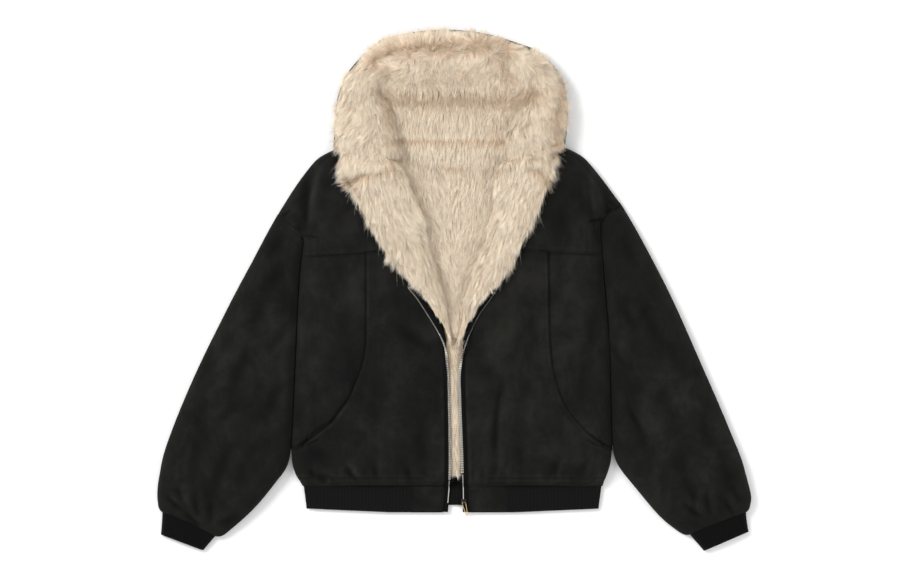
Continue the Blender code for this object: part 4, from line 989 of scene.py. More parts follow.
# %% [markdown]
# The tape is one long strip with a thick cord along its edge, where the teeth grip it. Its
# section of eight points is repeated along the line, and the rings of points are joined. A
# curve with a bevel would make the same, but it would not keep the cord on its own side.


# %% The two tapes
RING_STEP = 4.0


def mesh_object(name, bm, material):
    """Finish a bmesh in millimetres as an object, smooth but for its sharp edges."""
    bmesh.ops.transform(bm, matrix=Matrix.Scale(MM, 4), verts=bm.verts)
    mesh = bpy.data.meshes.new(name)
    bm.to_mesh(mesh)
    bm.free()
    mesh.shade_smooth()
    mesh.set_sharp_from_angle(angle=math.radians(45))
    mesh.materials.append(material)
    return add_object(name, mesh)


def join_rings(bm, rings, closed=False):
    """Join rings of points into a tube, which meets itself or is capped at both ends."""
    for first, second in zip(rings, rings[1:] + rings[:1] if closed else rings[1:]):
        for i in range(len(first)):
            j = (i + 1) % len(first)
            bm.faces.new((first[i], first[j], second[j], second[i]))
    if not closed:
        bm.faces.new(rings[0])
        bm.faces.new(rings[-1])
    bmesh.ops.recalc_face_normals(bm, faces=bm.faces)


def make_tape_piece(label):
    """A strip of tape with its cord, from the foot of the zip to where the front rolls over."""
    bm = bmesh.new()
    rings = []
    for place, _, across, inner in zip_frames(label, RING_STEP):
        h = inner * TAPE_THICK / 2
        root = place + across * TAPE_WIDTH * 0.97
        cord = place + across * 0.9
        lip = place - across * TOOTH_NOSE * 0.75
        section = [lip + h * 0.8, cord + h * 1.6, place + across * 2 + h, root + h,
                   root - h, place + across * 2 - h, cord - h * 1.6, lip - h * 0.4]
        rings.append([bm.verts.new(p) for p in section])
    join_rings(bm, rings)
    return mesh_object("zip_tape_cloth_" + label, bm, TAPE)


print("a tape has a ring of eight points every", RING_STEP, "mm")

# %% [markdown]
# A tooth is pressed from sheet metal: a body that grips the cord, and a narrower nose that
# hooks into the other row. At the size of a pixel or two a bevelled block for each is
# enough, but every tooth is a real one, turned with the tape.


# %% The teeth
TEETH_END = {"left": -323.0, "right": -311.0}      # where the lowest tooth sits
TOOTH_BODY = ((-0.65, -0.4, -1.5), (0.65, 1.5, 0.5))         # lowest and highest corner
TOOTH_HEAD = ((-0.65, -TOOTH_NOSE, -1.2), (0.65, -0.3, 0.5))
TOOTH_BEVEL = 0.25


def make_teeth(label):
    """Pressed teeth: a body that grips the tape's cord, and a narrower nose."""
    bm = bmesh.new()
    for place, run, across, inner in zip_frames(label, TOOTH_PITCH):
        if place.y < TEETH_END[label]:
            continue
        basis = Matrix((run, across, inner)).transposed().to_4x4()
        basis.translation = place
        for low, high in (TOOTH_BODY, TOOTH_HEAD):
            made = bmesh.ops.create_cube(bm, size=1.0)
            size = [h - l for l, h in zip(low, high)]
            for v in made["verts"]:
                local = Vector([l + s * (c + 0.5) for l, s, c in zip(low, size, v.co)])
                v.co = basis @ local
            bmesh.ops.bevel(bm, geom=list({e for v in made["verts"] for e in v.link_edges}),
                            offset=TOOTH_BEVEL, segments=1, affect="EDGES")
    return mesh_object("zip_teeth_" + label, bm, NICKEL)


print("teeth in each row:", [sum(place.y >= TEETH_END[label] for place, _, _, _ in zip_frames(
    label, TOOTH_PITCH)) for label in SIDES])

# %% [markdown]
# Below its lowest tooth each row ends in a smooth pin, a rod along the edge of the tape,
# which the slider and its box close on. The loop then makes both halves of the zip, and each
# piece rides on the jacket.


# %% The pins, and the whole zip
PIN_RADIUS, PIN_DEPTH, PIN_FOOT = 0.95, 0.8, -366
ROUND = [k * math.pi / 4 for k in range(8)]        # eight turns, for the section of a rod


def make_pin(label):
    """The smooth pin below the lowest tooth, a rod along the edge of the tape."""
    bm = bmesh.new()
    rings = []
    for place, _, across, inner in zip_frames(label, RING_STEP):
        if PIN_FOOT < place.y < TEETH_END[label]:
            rings.append([bm.verts.new(
                place + (across * math.cos(a) + inner * math.sin(a)) * PIN_RADIUS
                - inner * PIN_DEPTH) for a in ROUND])
    join_rings(bm, rings)
    return mesh_object("zip_pin_" + label, bm, STEEL)


for label in SIDES:
    tape = make_tape_piece(label)
    teeth, pin = make_teeth(label), make_pin(label)
    for piece in (tape, teeth, pin):
        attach(piece, "jacket")
    cloth["zip_tape_" + label] = tape
    sewn["zip_tape_" + label] = [teeth, pin]
    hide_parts("zip_tape_" + label)
    print(tape.name, triangle_count(tape.data), teeth.name, triangle_count(teeth.data))

# %% [markdown]
# The slider waits at the foot of the right row. Its shape is right as packed, so it is
# copied, not built again. Cast metal has no sharp edges, and a small bevel along each
# one catches the light as the real slider does.

# %% The slider
SHARP, SLIDER_BEVEL = 0.7, 0.25
bm = node_bmesh("zip_slider")
bmesh.ops.bevel(bm, geom=[e for e in bm.edges if e.calc_face_angle(0) > SHARP],
                offset=SLIDER_BEVEL * MM, segments=2, affect="EDGES", profile=0.5)
slider = smooth_copy("zip_slider_metal", bm, 0)
slider.data.set_sharp_from_angle(angle=math.radians(50))
slider.data.materials.append(DARK_STEEL)
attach(slider, "jacket")
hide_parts("zip_slider")
print(slider.name, triangle_count(slider.data), "triangles")

# %% [markdown]
# The pull is a loop of brass wire that hangs on the slider's bridge and swings over it. The
# wire is bent along a table of places and comes back to where it began. It rides on a body
# of its own, so it turns with the hinge while everything else lies still.

# %% The pull
PULL_LOW, PULL_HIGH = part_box("zip_pull")
PULL_Z = (PULL_LOW[2] + PULL_HIGH[2]) / 2 / MM
WIRE_RADIUS, WIRE_STEP = 0.65, 1.0
PULL_LOOP = [Place(15.8, -360.9), Place(18.9, -362.0), Place(19.6, -365.1), Place(20.1, -369.0),
             Place(21.9, -380.0), Place(22.2, -383.0), Place(20.6, -383.9), Place(19.0, -380.0),
             Place(14.4, -367.0), Place(13.3, -362.8), Place(15.8, -360.9)]


def make_pull():
    """A loop of brass wire that closes at its free end."""
    bm = bmesh.new()
    walk = smooth_line([(p.x, p.y, PULL_Z) for p in PULL_LOOP], WIRE_STEP)
    rings = []
    for place, run in zip(walk, np.gradient(walk, axis=0)):
        side = Vector((run[1], -run[0], 0)).normalized()
        rings.append([bm.verts.new(Vector(place) + WIRE_RADIUS * (
            side * math.cos(a) + Vector((0, 0, 1)) * math.sin(a))) for a in ROUND])
    join_rings(bm, rings, closed=True)
    return mesh_object("zip_pull_wire", bm, BRASS)


pull = make_pull()
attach(pull, "pull")
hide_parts("zip_pull")
print(pull.name, triangle_count(pull.data), "triangles")

# %% [markdown]
# ## The pile
#
# The lining is long soft hair that lies over and clumps into pointed locks. Hair is a little
# clear: light that falls on its far side glows through. So its shader is mixed with a
# Translucent one. Each hair carries its own colour from root to tip, which the material
# reads from the mesh.


# %% Beige pile
GLOW = 0.28


def make_pile():
    """Hair that takes its colour from the mesh, and lets a little light through."""
    material, tree, shader = principled("beige_pile", (0.7, 0.58, 0.43), 0.62, Sheen_Weight=0.12,
                                        Specular_IOR_Level=0.25)
    color = tree.nodes.new("ShaderNodeAttribute")
    color.attribute_name = "hair_color"
    through = tree.nodes.new("ShaderNodeBsdfTranslucent")
    blend = tree.nodes.new("ShaderNodeMixShader")
    blend.inputs["Fac"].default_value = GLOW
    output = tree.nodes["Material Output"]
    tree.links.new(color.outputs["Color"], shader.inputs["Base Color"])
    tree.links.new(color.outputs["Color"], through.inputs["Color"])
    tree.links.new(shader.outputs["BSDF"], blend.inputs[1])
    tree.links.new(through.outputs["BSDF"], blend.inputs[2])
    tree.links.new(blend.outputs["Shader"], output.inputs["Surface"])
    return material


PILE = make_pile()
print("made", PILE.name)

# %% [markdown]
# The hood and the turned-back fronts are soft rolls, parted by furrows where the lining is
# sewn or bent. Each furrow is a line of the table with its width and depth. It presses the
# pile in, and it also makes the hair browner, because less light gets down there.

# %% Furrows between the rolls
Furrow = namedtuple("Furrow", "x0 y0 x1 y1 width depth")
FURROWS = [
    Furrow(-130, 388, -92, 405, 11, 12), Furrow(-92, 405, -25, 410, 8, 9),
    Furrow(-25, 410, 77, 411, 8, 6), Furrow(77, 411, 96, 367, 12, 11),
    Furrow(-125, 336, 135, 334, 13, 2), Furrow(-108, 257, -40, 259, 3.2, 6),
    Furrow(-40, 259, 30, 260, 3.2, 6), Furrow(30, 260, 88, 256, 3.2, 6),
    Furrow(-118, 349, -122, 301, 6, 9), Furrow(-116, 289, -108, 255, 6, 9),
    Furrow(175, 357, 168, 235, 8, 5), Furrow(-150, 200, -188, 176, 8, 8),
    Furrow(-110, 214, -150, 200, 7, 5), Furrow(140, 212, 158, 186, 7, 7),
]


def furrow_depth(x, y):
    """How deep, and how close to a furrow, each place of the pile is."""
    depth, near = np.zeros_like(x), np.zeros_like(x)
    for f in FURROWS:
        closeness = np.exp(-(off_line(x, y, f.x0, f.y0, f.x1, f.y1) / f.width) ** 2)
        depth = np.maximum(depth, f.depth * closeness)
        near = np.maximum(near, closeness)
    return depth, near


sample, _ = furrow_depth(sample_x, sample_y + 200)
print("drew", len(FURROWS), "furrows, the deepest %.1f mm on the grid" % sample.max())

# %% [markdown]
# Hair needs something to stand on. Under it lies a cushion of the pile's own shape, drawn in
# to leave room for the hair. Where two pieces of pile meet, their cushions have to run in
# under each other, or a dark gap opens between them. So points on an open rim are led
# towards the nearest neighbour.


# %% Where a cushion runs in under the next one
RIM_REACH = {True: 22.0, False: 14.0}     # how far flat and rolled cushions reach under others
RIM_DROP = 0.8              # how far their edges drop onto the flat ones, for each unit of reach
HOODWARD = 60.0             # flat cushions are led this much more towards the hood
blockers = {name: blocker(name) for name in nodes if "fur" in name}


def way_to_next(point, neighbours):
    """The way from a point towards the piece of pile that is nearest, down if it lies flat."""
    place = Vector(point) * MM
    nearest = min(neighbours, key=lambda n: blockers[n].find_nearest(place)[3])
    low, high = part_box(nearest)
    way = Vector([(low[k] + high[k]) / 2 / MM - point[k] for k in (0, 1)]).normalized()
    return way.x, way.y, -RIM_DROP if "back" in nearest else 0


def rim_ways(points, rim, neighbours, flat):
    """The way that each point of the rim is led: outward, or towards the next piece."""
    if not flat:
        return np.array([way_to_next(p, neighbours) for p in points[rim]]).reshape(-1, 3)
    outward = (points[rim] - points.mean(0)) * (1, 1, 0)
    outward[:, 1] += HOODWARD * (outward[:, 1] > 0)
    return outward / np.maximum(np.linalg.norm(outward, axis=1), 1e-6)[:, None]


print("pieces of pile that meet:", sorted(blockers))

# %% [markdown]
# The hair must not reach past the outline that the jacket has in the photo. So along the
# outer edge the cushions step back from it, by a few millimetres more or less, which leaves
# the edge tufted and not cut straight.

# %% Room for the hair along the outline
HOOD_MIDDLE, HOOD_FOOT = 230, 150            # places in Y: the hood's middle and its lower end
EdgeRoom = namedtuple("EdgeRoom", "y room")
EDGE_ROOM = [                    # how far inside the pile's outline the cushions stay
    EdgeRoom(-120, 3), EdgeRoom(-30, 4), EdgeRoom(40, 7), EdgeRoom(150, 11.5),
    EdgeRoom(230, 11.5), EdgeRoom(300, 9.5), EdgeRoom(380, 9), EdgeRoom(440, 11.5)]
OUTSIDE = 60.0
outline = blocker(*blockers)


def keep_inside(points):
    """Draw cushion points in from the outline of the pile, to leave room for its hair."""
    rooms = np.interp(points[:, 1], [r.y for r in EDGE_ROOM], [r.room for r in EDGE_ROOM])
    rooms += 2.0 * hills(points[:, 0], points[:, 1], 17, 31)
    for i, (x, y, z) in enumerate(points):
        outward, downward = (x, y - HOOD_MIDDLE, 0), (math.copysign(0.87, x), -0.5, 0)
        way = Vector(outward if y > HOOD_FOOT else downward).normalized()
        start = (Vector((x, y, max(z, 6.0))) + way * OUTSIDE) * MM
        hit, _, _, far = outline.ray_cast(start, -way, 0.2)
        if hit is not None:
            inside = far / MM - OUTSIDE
            points[i, :2] -= np.array(way[:2]) * np.clip(rooms[i] + inside, 0, 40)


print("the edge keeps", min(r.room for r in EDGE_ROOM), "to", max(r.room for r in EDGE_ROOM),
      "mm free for hair")

# %% [markdown]
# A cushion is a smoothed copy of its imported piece. The flat ones, on the back and in the
# hood, keep their upper side alone. All are lowered by the hair's lift, led in under their
# neighbours, given soft bumps and pressed in along the furrows.


# %% The cushion under the hair
HAIR_LIFT = 7.0             # how far the cushion stays inside the outline that the hair reaches
WIDE_BUMPS, SMALL_BUMPS = 34, 15                   # how wide they are
BACK_WIDTH, BACK_FOOT = 170, -316                  # the flat cushions end here, under the fronts


def smooth_step(share):
    """A soft ramp from 0 to 1."""
    share = np.clip(share, 0, 1)
    return share * share * (3 - 2 * share)


def make_cushion(name, levels, lift, crease_angle, relief, neighbours, flat):
    """A smooth copy of a pile piece, drawn in to make room for the hair."""
    bm = node_bmesh(name)
    if flat:
        sides = [f for f in bm.faces if f.normal.z < 0.5]
        bmesh.ops.delete(bm, geom=sides, context="FACES")
    else:
        drop_covered(bm, neighbours, 3)
    piece = smooth_copy(name + "_cushion", bm, levels, crease_angle)
    points, normals = get_points(piece.data), get_normals(piece.data)
    counts, ends = edge_faces(piece.data)
    rim = np.unique(ends[counts == 1])
    outward = rim_ways(points, rim, neighbours, flat)
    points -= normals * lift * np.clip(normals[:, 2] + 1, 0, 1)[:, None]
    points[rim] += outward * RIM_REACH[flat]
    if not flat:
        keep_inside(points)
    x, y, _ = points.T
    depth, _ = furrow_depth(x, y)
    bumps = 2.2 * hills(x, y, WIDE_BUMPS, 3) + 1.2 * hills(x, y, SMALL_BUMPS, 4)
    points[:, 2] += relief * (bumps - depth) * np.clip(normals[:, 2], 0, 1)
    if flat:
        points[:, 2] += 12 * smooth_step((y - 312) / 34)        # the hood rises to its crown
        points[:, 1] = np.maximum(y, BACK_FOOT)
        points[:, 0] = np.clip(x, -BACK_WIDTH, BACK_WIDTH)
    points[:, 2] = np.maximum(points[:, 2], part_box(name)[0][2] / MM + 0.2)
    set_points(piece.data, points)
    piece.data.materials.append(PILE)
    return piece


print("a quarter of the way along, the soft ramp stands at %.2f" % smooth_step(0.25))

# %% [markdown]
# Combed pile lies in streams: outward over the rim of the hood, down over the turned-back
# fronts, and straight down in the middle of the back. A table of arrows says which way it
# lies at over ninety places, and in between the nearest arrows are blended. In Blender a
# comb brush does the same by hand, but nobody could read or repeat its strokes here.

# %% Arrows for the way that the hair lies
Arrow = namedtuple("Arrow", "x y angle")      # angle: 0 to the right, 90 towards the hood
HAIR_FLOW = [
    Arrow(-195, 150, -150), Arrow(-140, 75, -135), Arrow(-95, 25, -125), Arrow(-58, 0, -95),
    Arrow(-190, 190, -152), Arrow(-168, 112, -142), Arrow(-118, 50, -132), Arrow(-76, 8, -118),
    Arrow(-42, -26, -66), Arrow(-25, -60, -70), Arrow(-12, -100, -86),
    Arrow(-160, 150, -88), Arrow(-115, 88, -66), Arrow(-78, 35, -60), Arrow(-35, 0, -62),
    Arrow(-125, 170, -66), Arrow(-90, 110, -56), Arrow(-62, 60, -54),
    Arrow(-95, 175, -62), Arrow(-62, 110, -54), Arrow(-42, 50, -54), Arrow(-15, -20, -75),
    Arrow(180, 150, -30), Arrow(140, 75, -42), Arrow(95, 20, -55), Arrow(62, 0, -85),
    Arrow(184, 185, -26), Arrow(160, 112, -36), Arrow(118, 48, -48), Arrow(78, 8, -62),
    Arrow(45, -26, -112), Arrow(28, -58, -108), Arrow(14, -95, -94),
    Arrow(145, 155, -92), Arrow(108, 90, -114), Arrow(74, 35, -120), Arrow(35, 0, -116),
    Arrow(115, 170, -112), Arrow(84, 110, -124), Arrow(60, 60, -126),
    Arrow(88, 175, -114), Arrow(65, 105, -124), Arrow(44, 50, -124), Arrow(12, -20, -104),
    Arrow(-208, 240, -150), Arrow(-212, 310, -172), Arrow(-190, 375, 155), Arrow(-150, 415, 130),
    Arrow(-185, 240, -125), Arrow(-185, 310, -140), Arrow(-110, 434, 118),
    Arrow(-160, 240, -112), Arrow(-160, 300, -118), Arrow(-150, 350, -130),
    Arrow(-112, 240, -85), Arrow(-118, 300, -78), Arrow(-120, 340, -60),
    Arrow(192, 240, -35), Arrow(198, 310, -15), Arrow(182, 362, 20), Arrow(145, 405, 50),
    Arrow(140, 240, -75), Arrow(150, 300, -60), Arrow(150, 350, -100),
    Arrow(95, 240, -100), Arrow(112, 300, -112), Arrow(120, 340, -125),
    Arrow(-70, 438, 110), Arrow(0, 440, 95), Arrow(65, 434, 80), Arrow(100, 425, 65),
    Arrow(-80, 415, 125), Arrow(0, 420, 85), Arrow(70, 418, 70), Arrow(-40, 418, 105),
    Arrow(-100, 390, -150), Arrow(-70, 388, -120), Arrow(-20, 392, -78), Arrow(40, 388, -105),
    Arrow(90, 385, -70),
    Arrow(-70, 362, -95), Arrow(0, 362, -85), Arrow(60, 362, -92),
    Arrow(-60, 320, -92), Arrow(0, 300, -88), Arrow(60, 320, -90),
    Arrow(-60, 230, -86), Arrow(0, 230, -92), Arrow(60, 230, -94), Arrow(-40, 100, -84),
    Arrow(0, 60, -90), Arrow(40, 100, -96), Arrow(0, -130, -90), Arrow(2, -300, -90),
]
print("combed the hair with", len(HAIR_FLOW), "arrows")

# %% [markdown]
# The blend weighs each arrow by how near it is. The pile is not combed equally well
# everywhere: it is ruffled on the crown of the hood and on its rolls, and calm on the back
# lining, which nothing has pressed.


# %% How the hair lies, and how ruffled it is
CALM, RUFFLED = 0.35, 0.85


def hair_angle(x, y):
    """The direction of the hair at each place, blended from the nearest arrows."""
    east, north = np.zeros_like(x), np.zeros_like(x)
    for arrow in HAIR_FLOW:
        weight = 1 / (((x - arrow.x) ** 2 + (y - arrow.y) ** 2) + 60) ** 1.6
        east += weight * math.cos(math.radians(arrow.angle))
        north += weight * math.sin(math.radians(arrow.angle))
    return np.arctan2(north, east)


def messiness(x, y):
    """How ruffled the hair is: most on the crown of the hood, least on the back lining."""
    crown = np.clip((y - 345) / 30, 0, 1)
    right = np.clip((x - 110) / 40, 0, 1) * np.clip((y - 150) / 60, 0, 1)
    left = np.clip((-x - 110) / 40, 0, 1) * np.clip((y - 200) / 60, 0, 1) * 0.6
    return CALM + RUFFLED * np.maximum(crown, np.maximum(right, left))


middle = np.degrees(hair_angle(np.array([0.0]), np.array([150.0])))[0]
print("in the neck the hair points %.0f degrees (-90 is to the hem)" % middle)

# %% [markdown]
# Along the zip, in the neck's seam and at the hood's upper right corner the hair is shorter.
# The table gives those edges and the share of its length that the hair keeps there.

# %% Where the hair is trimmed
Trim = namedtuple("Trim", "x0 y0 x1 y1 width share")
TRIMS = [                        # edges where the hair is short and stays inside the outline
    Trim(-60, 5, -40, -30, 20, 0.65), Trim(-40, -30, -22, -65, 18, 0.6),
    Trim(-22, -65, -10, -115, 16, 0.5), Trim(66, 5, 42, -35, 20, 0.65),
    Trim(42, -35, 26, -68, 18, 0.6), Trim(26, -68, 12, -115, 16, 0.5),
    Trim(90, 440, 150, 414, 14, 0.5), Trim(150, 414, 192, 352, 14, 0.5),
    Trim(-108, 264, 88, 264, 7, 0.5),
]


def trimmed(x, y):
    """The share of its length that the hair keeps at each place."""
    share = np.ones_like(x)
    for t in TRIMS:
        rise = np.clip(off_line(x, y, t.x0, t.y0, t.x1, t.y1) / t.width, 0, 1)
        share = np.minimum(share, t.share + (1 - t.share) * rise * rise)
    return share


print("the shortest hair keeps", min(t.share for t in TRIMS), "of its length")

# %% [markdown]
# ## Growing the hair
#
# Blender's own hair curves would look right in a render, but the jacket is also used as a
# mesh, so each hair is a narrow tapering ribbon. First come the roots. They are scattered
# over the triangles of the cushion, more on large ones and fewer on steep ones, and only
# where nothing covers them: hair that is never seen would cost as much as the rest.


# %% Scatter the roots
STEEP = 0.75                     # faces that look down further than this get no hair
TRIES = 60


def sample_roots(mesh, count, dice, is_open):
    """Scatter roots evenly over the parts of the faces that nothing covers."""
    mesh.calc_loop_triangles()
    corners = np.empty(len(mesh.loop_triangles) * 3, int)
    mesh.loop_triangles.foreach_get("vertices", corners)
    corners = corners.reshape(-1, 3)
    points, normals = get_points(mesh), get_normals(mesh)
    a, b, c = (points[corners[:, k]] for k in range(3))
    cross = np.cross(b - a, c - a)
    area = np.linalg.norm(cross, axis=1) / 2
    up = cross[:, 2] / np.maximum(2 * area, 1e-9)
    chance = area * np.clip(up + STEEP, 0, 1)
    places, ways, tried = [], [], 0
    while sum(map(len, places)) < count and tried < TRIES * count:
        picked = dice.choice(len(corners), count, p=chance / chance.sum())
        u, v = dice.random(count), dice.random(count)
        flip = u + v > 1
        u[flip], v[flip] = 1 - u[flip], 1 - v[flip]
        weights = np.column_stack([1 - u - v, u, v])[:, :, None]
        place = (points[corners[picked]] * weights).sum(1)
        keep = np.array([is_open(p) for p in place])
        places.append(place[keep])
        ways.append((normals[corners[picked]] * weights).sum(1)[keep])
        tried += count
    open_area = chance.sum() * sum(map(len, places)) / tried
    place, normal = np.vstack(places)[:count], np.vstack(ways)[:count]
    return place, normal / np.linalg.norm(normal, axis=1)[:, None], open_area


print("at most", TRIES, "throws are made for each root")

# %% [markdown]
# A hair leaves the cushion at a slant and then bends over to lie along it. Three points are
# enough for that at this size: its root, a little below the surface, its bend and its tip.
# The way of each hair is the stream's, turned by smooth swirls and by chance where the pile
# is ruffled.


# %% The path of a hair
SHARES = (0.0, 0.45, 1.0)        # where along a hair its points lie
ROOT_DEPTH = 1.5
WIDE_SWIRL, SMALL_SWIRL = 30, 13


def hair_paths(roots, normals, angle, length, lean):
    """Three points for each hair: up out of the cushion, then over and along it."""
    flat = np.column_stack([np.cos(angle), np.sin(angle), np.zeros(len(angle))])
    along = flat - normals * (flat * normals).sum(1)[:, None]
    along /= np.maximum(np.linalg.norm(along, axis=1), 0.2)[:, None]
    path = [roots - normals * ROOT_DEPTH]
    for share, rise in zip(np.diff(SHARES), (lean, -0.05 * lean)):
        way = along * np.cos(rise)[:, None] + normals * np.sin(rise)[:, None]
        path.append(path[-1] + way * (length * share)[:, None])
    return np.stack(path, axis=1)


def hair_directions(roots, spread, dice):
    """The way that each hair points, ruffled by swirls and by chance."""
    x, y = roots[:, 0], roots[:, 1]
    ruffle = messiness(x, y)
    swirl = 0.75 * hills(x, y, WIDE_SWIRL, 21) + 0.55 * hills(x, y, SMALL_SWIRL, 22)
    return hair_angle(x, y) + ruffle * swirl + dice.normal(0, spread, len(x)) * (0.5 + ruffle)


sample = hair_paths(np.zeros((1, 3)), np.array([[0.0, 0.0, 1.0]]), np.array([0.0]),
                    np.array([25.0]), np.radians([30.0]))[0]
print("a hair of 25 mm that leans at 30 degrees ends %.0f mm away and %.1f mm up"
      % (sample[2, 0], sample[2, 2]))

# %% [markdown]
# Pile clumps: neighbouring hairs stick together and end in one point. So some hairs lead,
# one for each lock of a few millimetres. Every other hair finds the lock that is nearest to
# its root and later bends towards its tip.


# %% The locks
LOCK_SIZE, FEWEST_LOCKS = 3.4, 50
Locks = namedtuple("Locks", "length lean path nearest")


def make_locks(mesh, roots, area, length, dice, is_open):
    """Scatter the leading hairs of the locks, and give each root its nearest lock."""
    wanted = max(int(area / LOCK_SIZE ** 2), FEWEST_LOCKS)
    places, normals, _ = sample_roots(mesh, wanted, dice, is_open)
    reach = length * dice.uniform(0.8, 1.12, len(places))
    reach *= trimmed(places[:, 0], places[:, 1])
    lean = np.radians(dice.uniform(20, 42, len(places)))
    path = hair_paths(places, normals, hair_directions(places, 0.16, dice), reach, lean)
    tree = point_tree(places)
    return Locks(reach, lean, path, np.array([tree.find(root)[1] for root in roots]))


print("there is a lock for every %.1f square millimetres" % LOCK_SIZE ** 2)

# %% [markdown]
# Each hair has its own length and slant and is drawn towards its lock, most at its tip. If
# all were, the pile would look like wet fur. So some stay free, and one in twenty is a
# wisp: longer, thinner and out of line.


# %% The hairs of the locks
WISP_CHANCE, WISP_STRETCH, WISP_WIDTH = 0.05, 1.45, 0.7
FREE_CHANCE = 0.15               # hairs that no lock draws
LOCK_PULL = (0, 0.5, 0.95)       # how far a lock draws a hair's root, bend and tip
STRAY = (0.6, 1.3)               # how far chance moves its bend and its tip


def lock_paths(roots, normals, locks, dice):
    """The path of every hair, drawn towards its lock, and whether it is a wisp."""
    count = len(roots)
    length = locks.length[locks.nearest] * dice.uniform(0.65, 1.1, count)
    length *= trimmed(roots[:, 0], roots[:, 1])
    wisp = dice.random(count) < WISP_CHANCE
    length[wisp] *= WISP_STRETCH
    lean = locks.lean[locks.nearest] + dice.normal(0, 0.15, count)
    path = hair_paths(roots, normals, hair_directions(roots, 0.17, dice), length, lean)
    pull = dice.uniform(0.25, 0.95, count) * (dice.random(count) > FREE_CHANCE) * ~wisp
    pull = pull[:, None, None] * np.array(LOCK_PULL)[None, :, None]
    path = path * (1 - pull) + locks.path[locks.nearest] * pull
    path[:, 1:] += dice.normal(0, 0.35, (count, 2, 3)) * np.array(STRAY)[None, :, None]
    return path, wisp


print("wisps are one hair in %.0f, and one in %.0f stays free" % (1 / WISP_CHANCE, 1 / FREE_CHANCE))

# %% [markdown]
# A ribbon has two points at its root, two at its bend and one at its tip. Its flat side is
# turned a little this way or that, so that some hairs catch the light and some don't. The
# ribbons are wider than real hairs, each standing for a few of them.


# %% Ribbons along the paths
THINNEST, THICKEST, BEND_TAPER = 0.15, 0.34, 0.85            # half a ribbon's width
LOWEST_TIP, HIGHEST_TIP = 0.6, 65.0


def ribbon_points(path, normals, wisp, dice):
    """Five points for each hair: two at its root, two at its bend and one at its tip."""
    run = path[:, 1:] - path[:, :-1]
    side = np.cross(run, normals[:, None, :])
    side /= np.maximum(np.linalg.norm(side, axis=2), 1e-6)[:, :, None]
    roll = dice.uniform(-0.6, 0.6, len(path))[:, None, None]
    side = side * np.cos(roll) + normals[:, None, :] * np.sin(roll)
    width = dice.uniform(THINNEST, THICKEST, len(path)) * np.where(wisp, WISP_WIDTH, 1.0)
    points = []
    for k, taper in enumerate((1.0, BEND_TAPER)):
        half = side[:, k] * (width * taper)[:, None]
        points += [path[:, k] - half, path[:, k] + half]
    points.append(path[:, 2])
    points = np.stack(points, axis=1).reshape(-1, 3)
    points[:, 2] = np.clip(points[:, 2], LOWEST_TIP, HIGHEST_TIP)
    return points


print("a ribbon is %.2f to %.2f mm wide at its root" % (2 * THINNEST, 2 * THICKEST))

# %% [markdown]
# The hair is dark beige at its root and nearly white at its tip. Painted shade makes it
# browner in the furrows and in soft patches and flecks where it is ruffled, between the tufts,
# and each lock and each hair is a little brighter or darker than the next. One even colour
# would make the pile look like plastic.


# %% The colours of the hair
ROOT_COLOR = np.array((0.62, 0.475, 0.335))
BODY_COLOR = np.array((0.85, 0.725, 0.565))
TIP_COLOR = np.array((0.98, 0.90, 0.78))
SHADE_LOSS = np.array((0.26, 0.36, 0.46))      # what painted shade takes from red, green and blue, which browns the hair
COLOR_SHARES = (0.1, 0.6, 1.0)


def hair_colors(roots, locks, dice):
    """A colour for each of a hair's five points."""
    x, y = roots[:, 0], roots[:, 1]
    _, near = furrow_depth(x, y)
    patch = 0.5 + 0.5 * hills(x, y, 22, 51)
    fleck = np.clip(hills(x, y, 8, 52), 0, 1)
    # painted shade: browner near the furrows, and in patches and flecks between ruffled tufts
    painted_hair_shade = 0.9 * near + messiness(x, y) * (0.30 * patch + 0.36 * fleck)
    painted_hair_shade = np.clip(painted_hair_shade + dice.normal(0, 0.06, len(x)), 0, 1)
    bright = dice.normal(1.0, 0.09, len(x)) * dice.normal(1.0, 0.09, len(locks.lean))[locks.nearest]
    colors = []
    for share in COLOR_SHARES:
        base = ROOT_COLOR + (BODY_COLOR - ROOT_COLOR) * min(share / 0.5, 1)
        base = base + (TIP_COLOR - BODY_COLOR) * max(share - 0.5, 0) / 0.5
        tone = base[None, :] * (1 - painted_hair_shade[:, None] * SHADE_LOSS * (1.1 - share * 0.6))
        colors.append(tone * bright[:, None])
    root, bend, tip = colors
    return np.clip(np.stack([root, root, bend, bend, tip], axis=1), 0, 1).reshape(-1, 3)


print("the tips are %.1f times as bright as the roots" % (TIP_COLOR.mean() / ROOT_COLOR.mean()))

# %% [markdown]
# All the ribbons of a piece become one mesh, filled straight from the arrays: a quad and a
# triangle for each hair. Their normals are taken from the cushion, so the light falls on
# the pile as on one soft body, and not on thousands of little blades.


# %% A mesh of ribbons
QUAD_AND_TIP = (0, 1, 3, 2, 2, 3, 4)         # the corners of a hair's two faces
FACE_STARTS = (0, 4)


def ribbon_mesh(name, points, soft, rgb):
    """One mesh for all the hairs of a piece, lit by the cushion's normals."""
    count = len(soft)
    mesh = bpy.data.meshes.new(name)
    mesh.vertices.add(len(points))
    mesh.vertices.foreach_set("co", (points * MM).ravel())
    loops = (np.arange(count)[:, None] * 5 + np.array(QUAD_AND_TIP)[None, :]).ravel()
    mesh.loops.add(len(loops))
    mesh.loops.foreach_set("vertex_index", loops)
    starts = (np.arange(count)[:, None] * 7 + np.array(FACE_STARTS)[None, :]).ravel()
    mesh.polygons.add(len(starts))
    mesh.polygons.foreach_set("loop_start", starts)
    mesh.update(calc_edges=True)
    mesh.shade_smooth()
    mesh.normals_split_custom_set_from_vertices(np.repeat(soft, 5, axis=0).tolist())
    paint(mesh, "hair_color", rgb)
    mesh.materials.append(PILE)
    return mesh


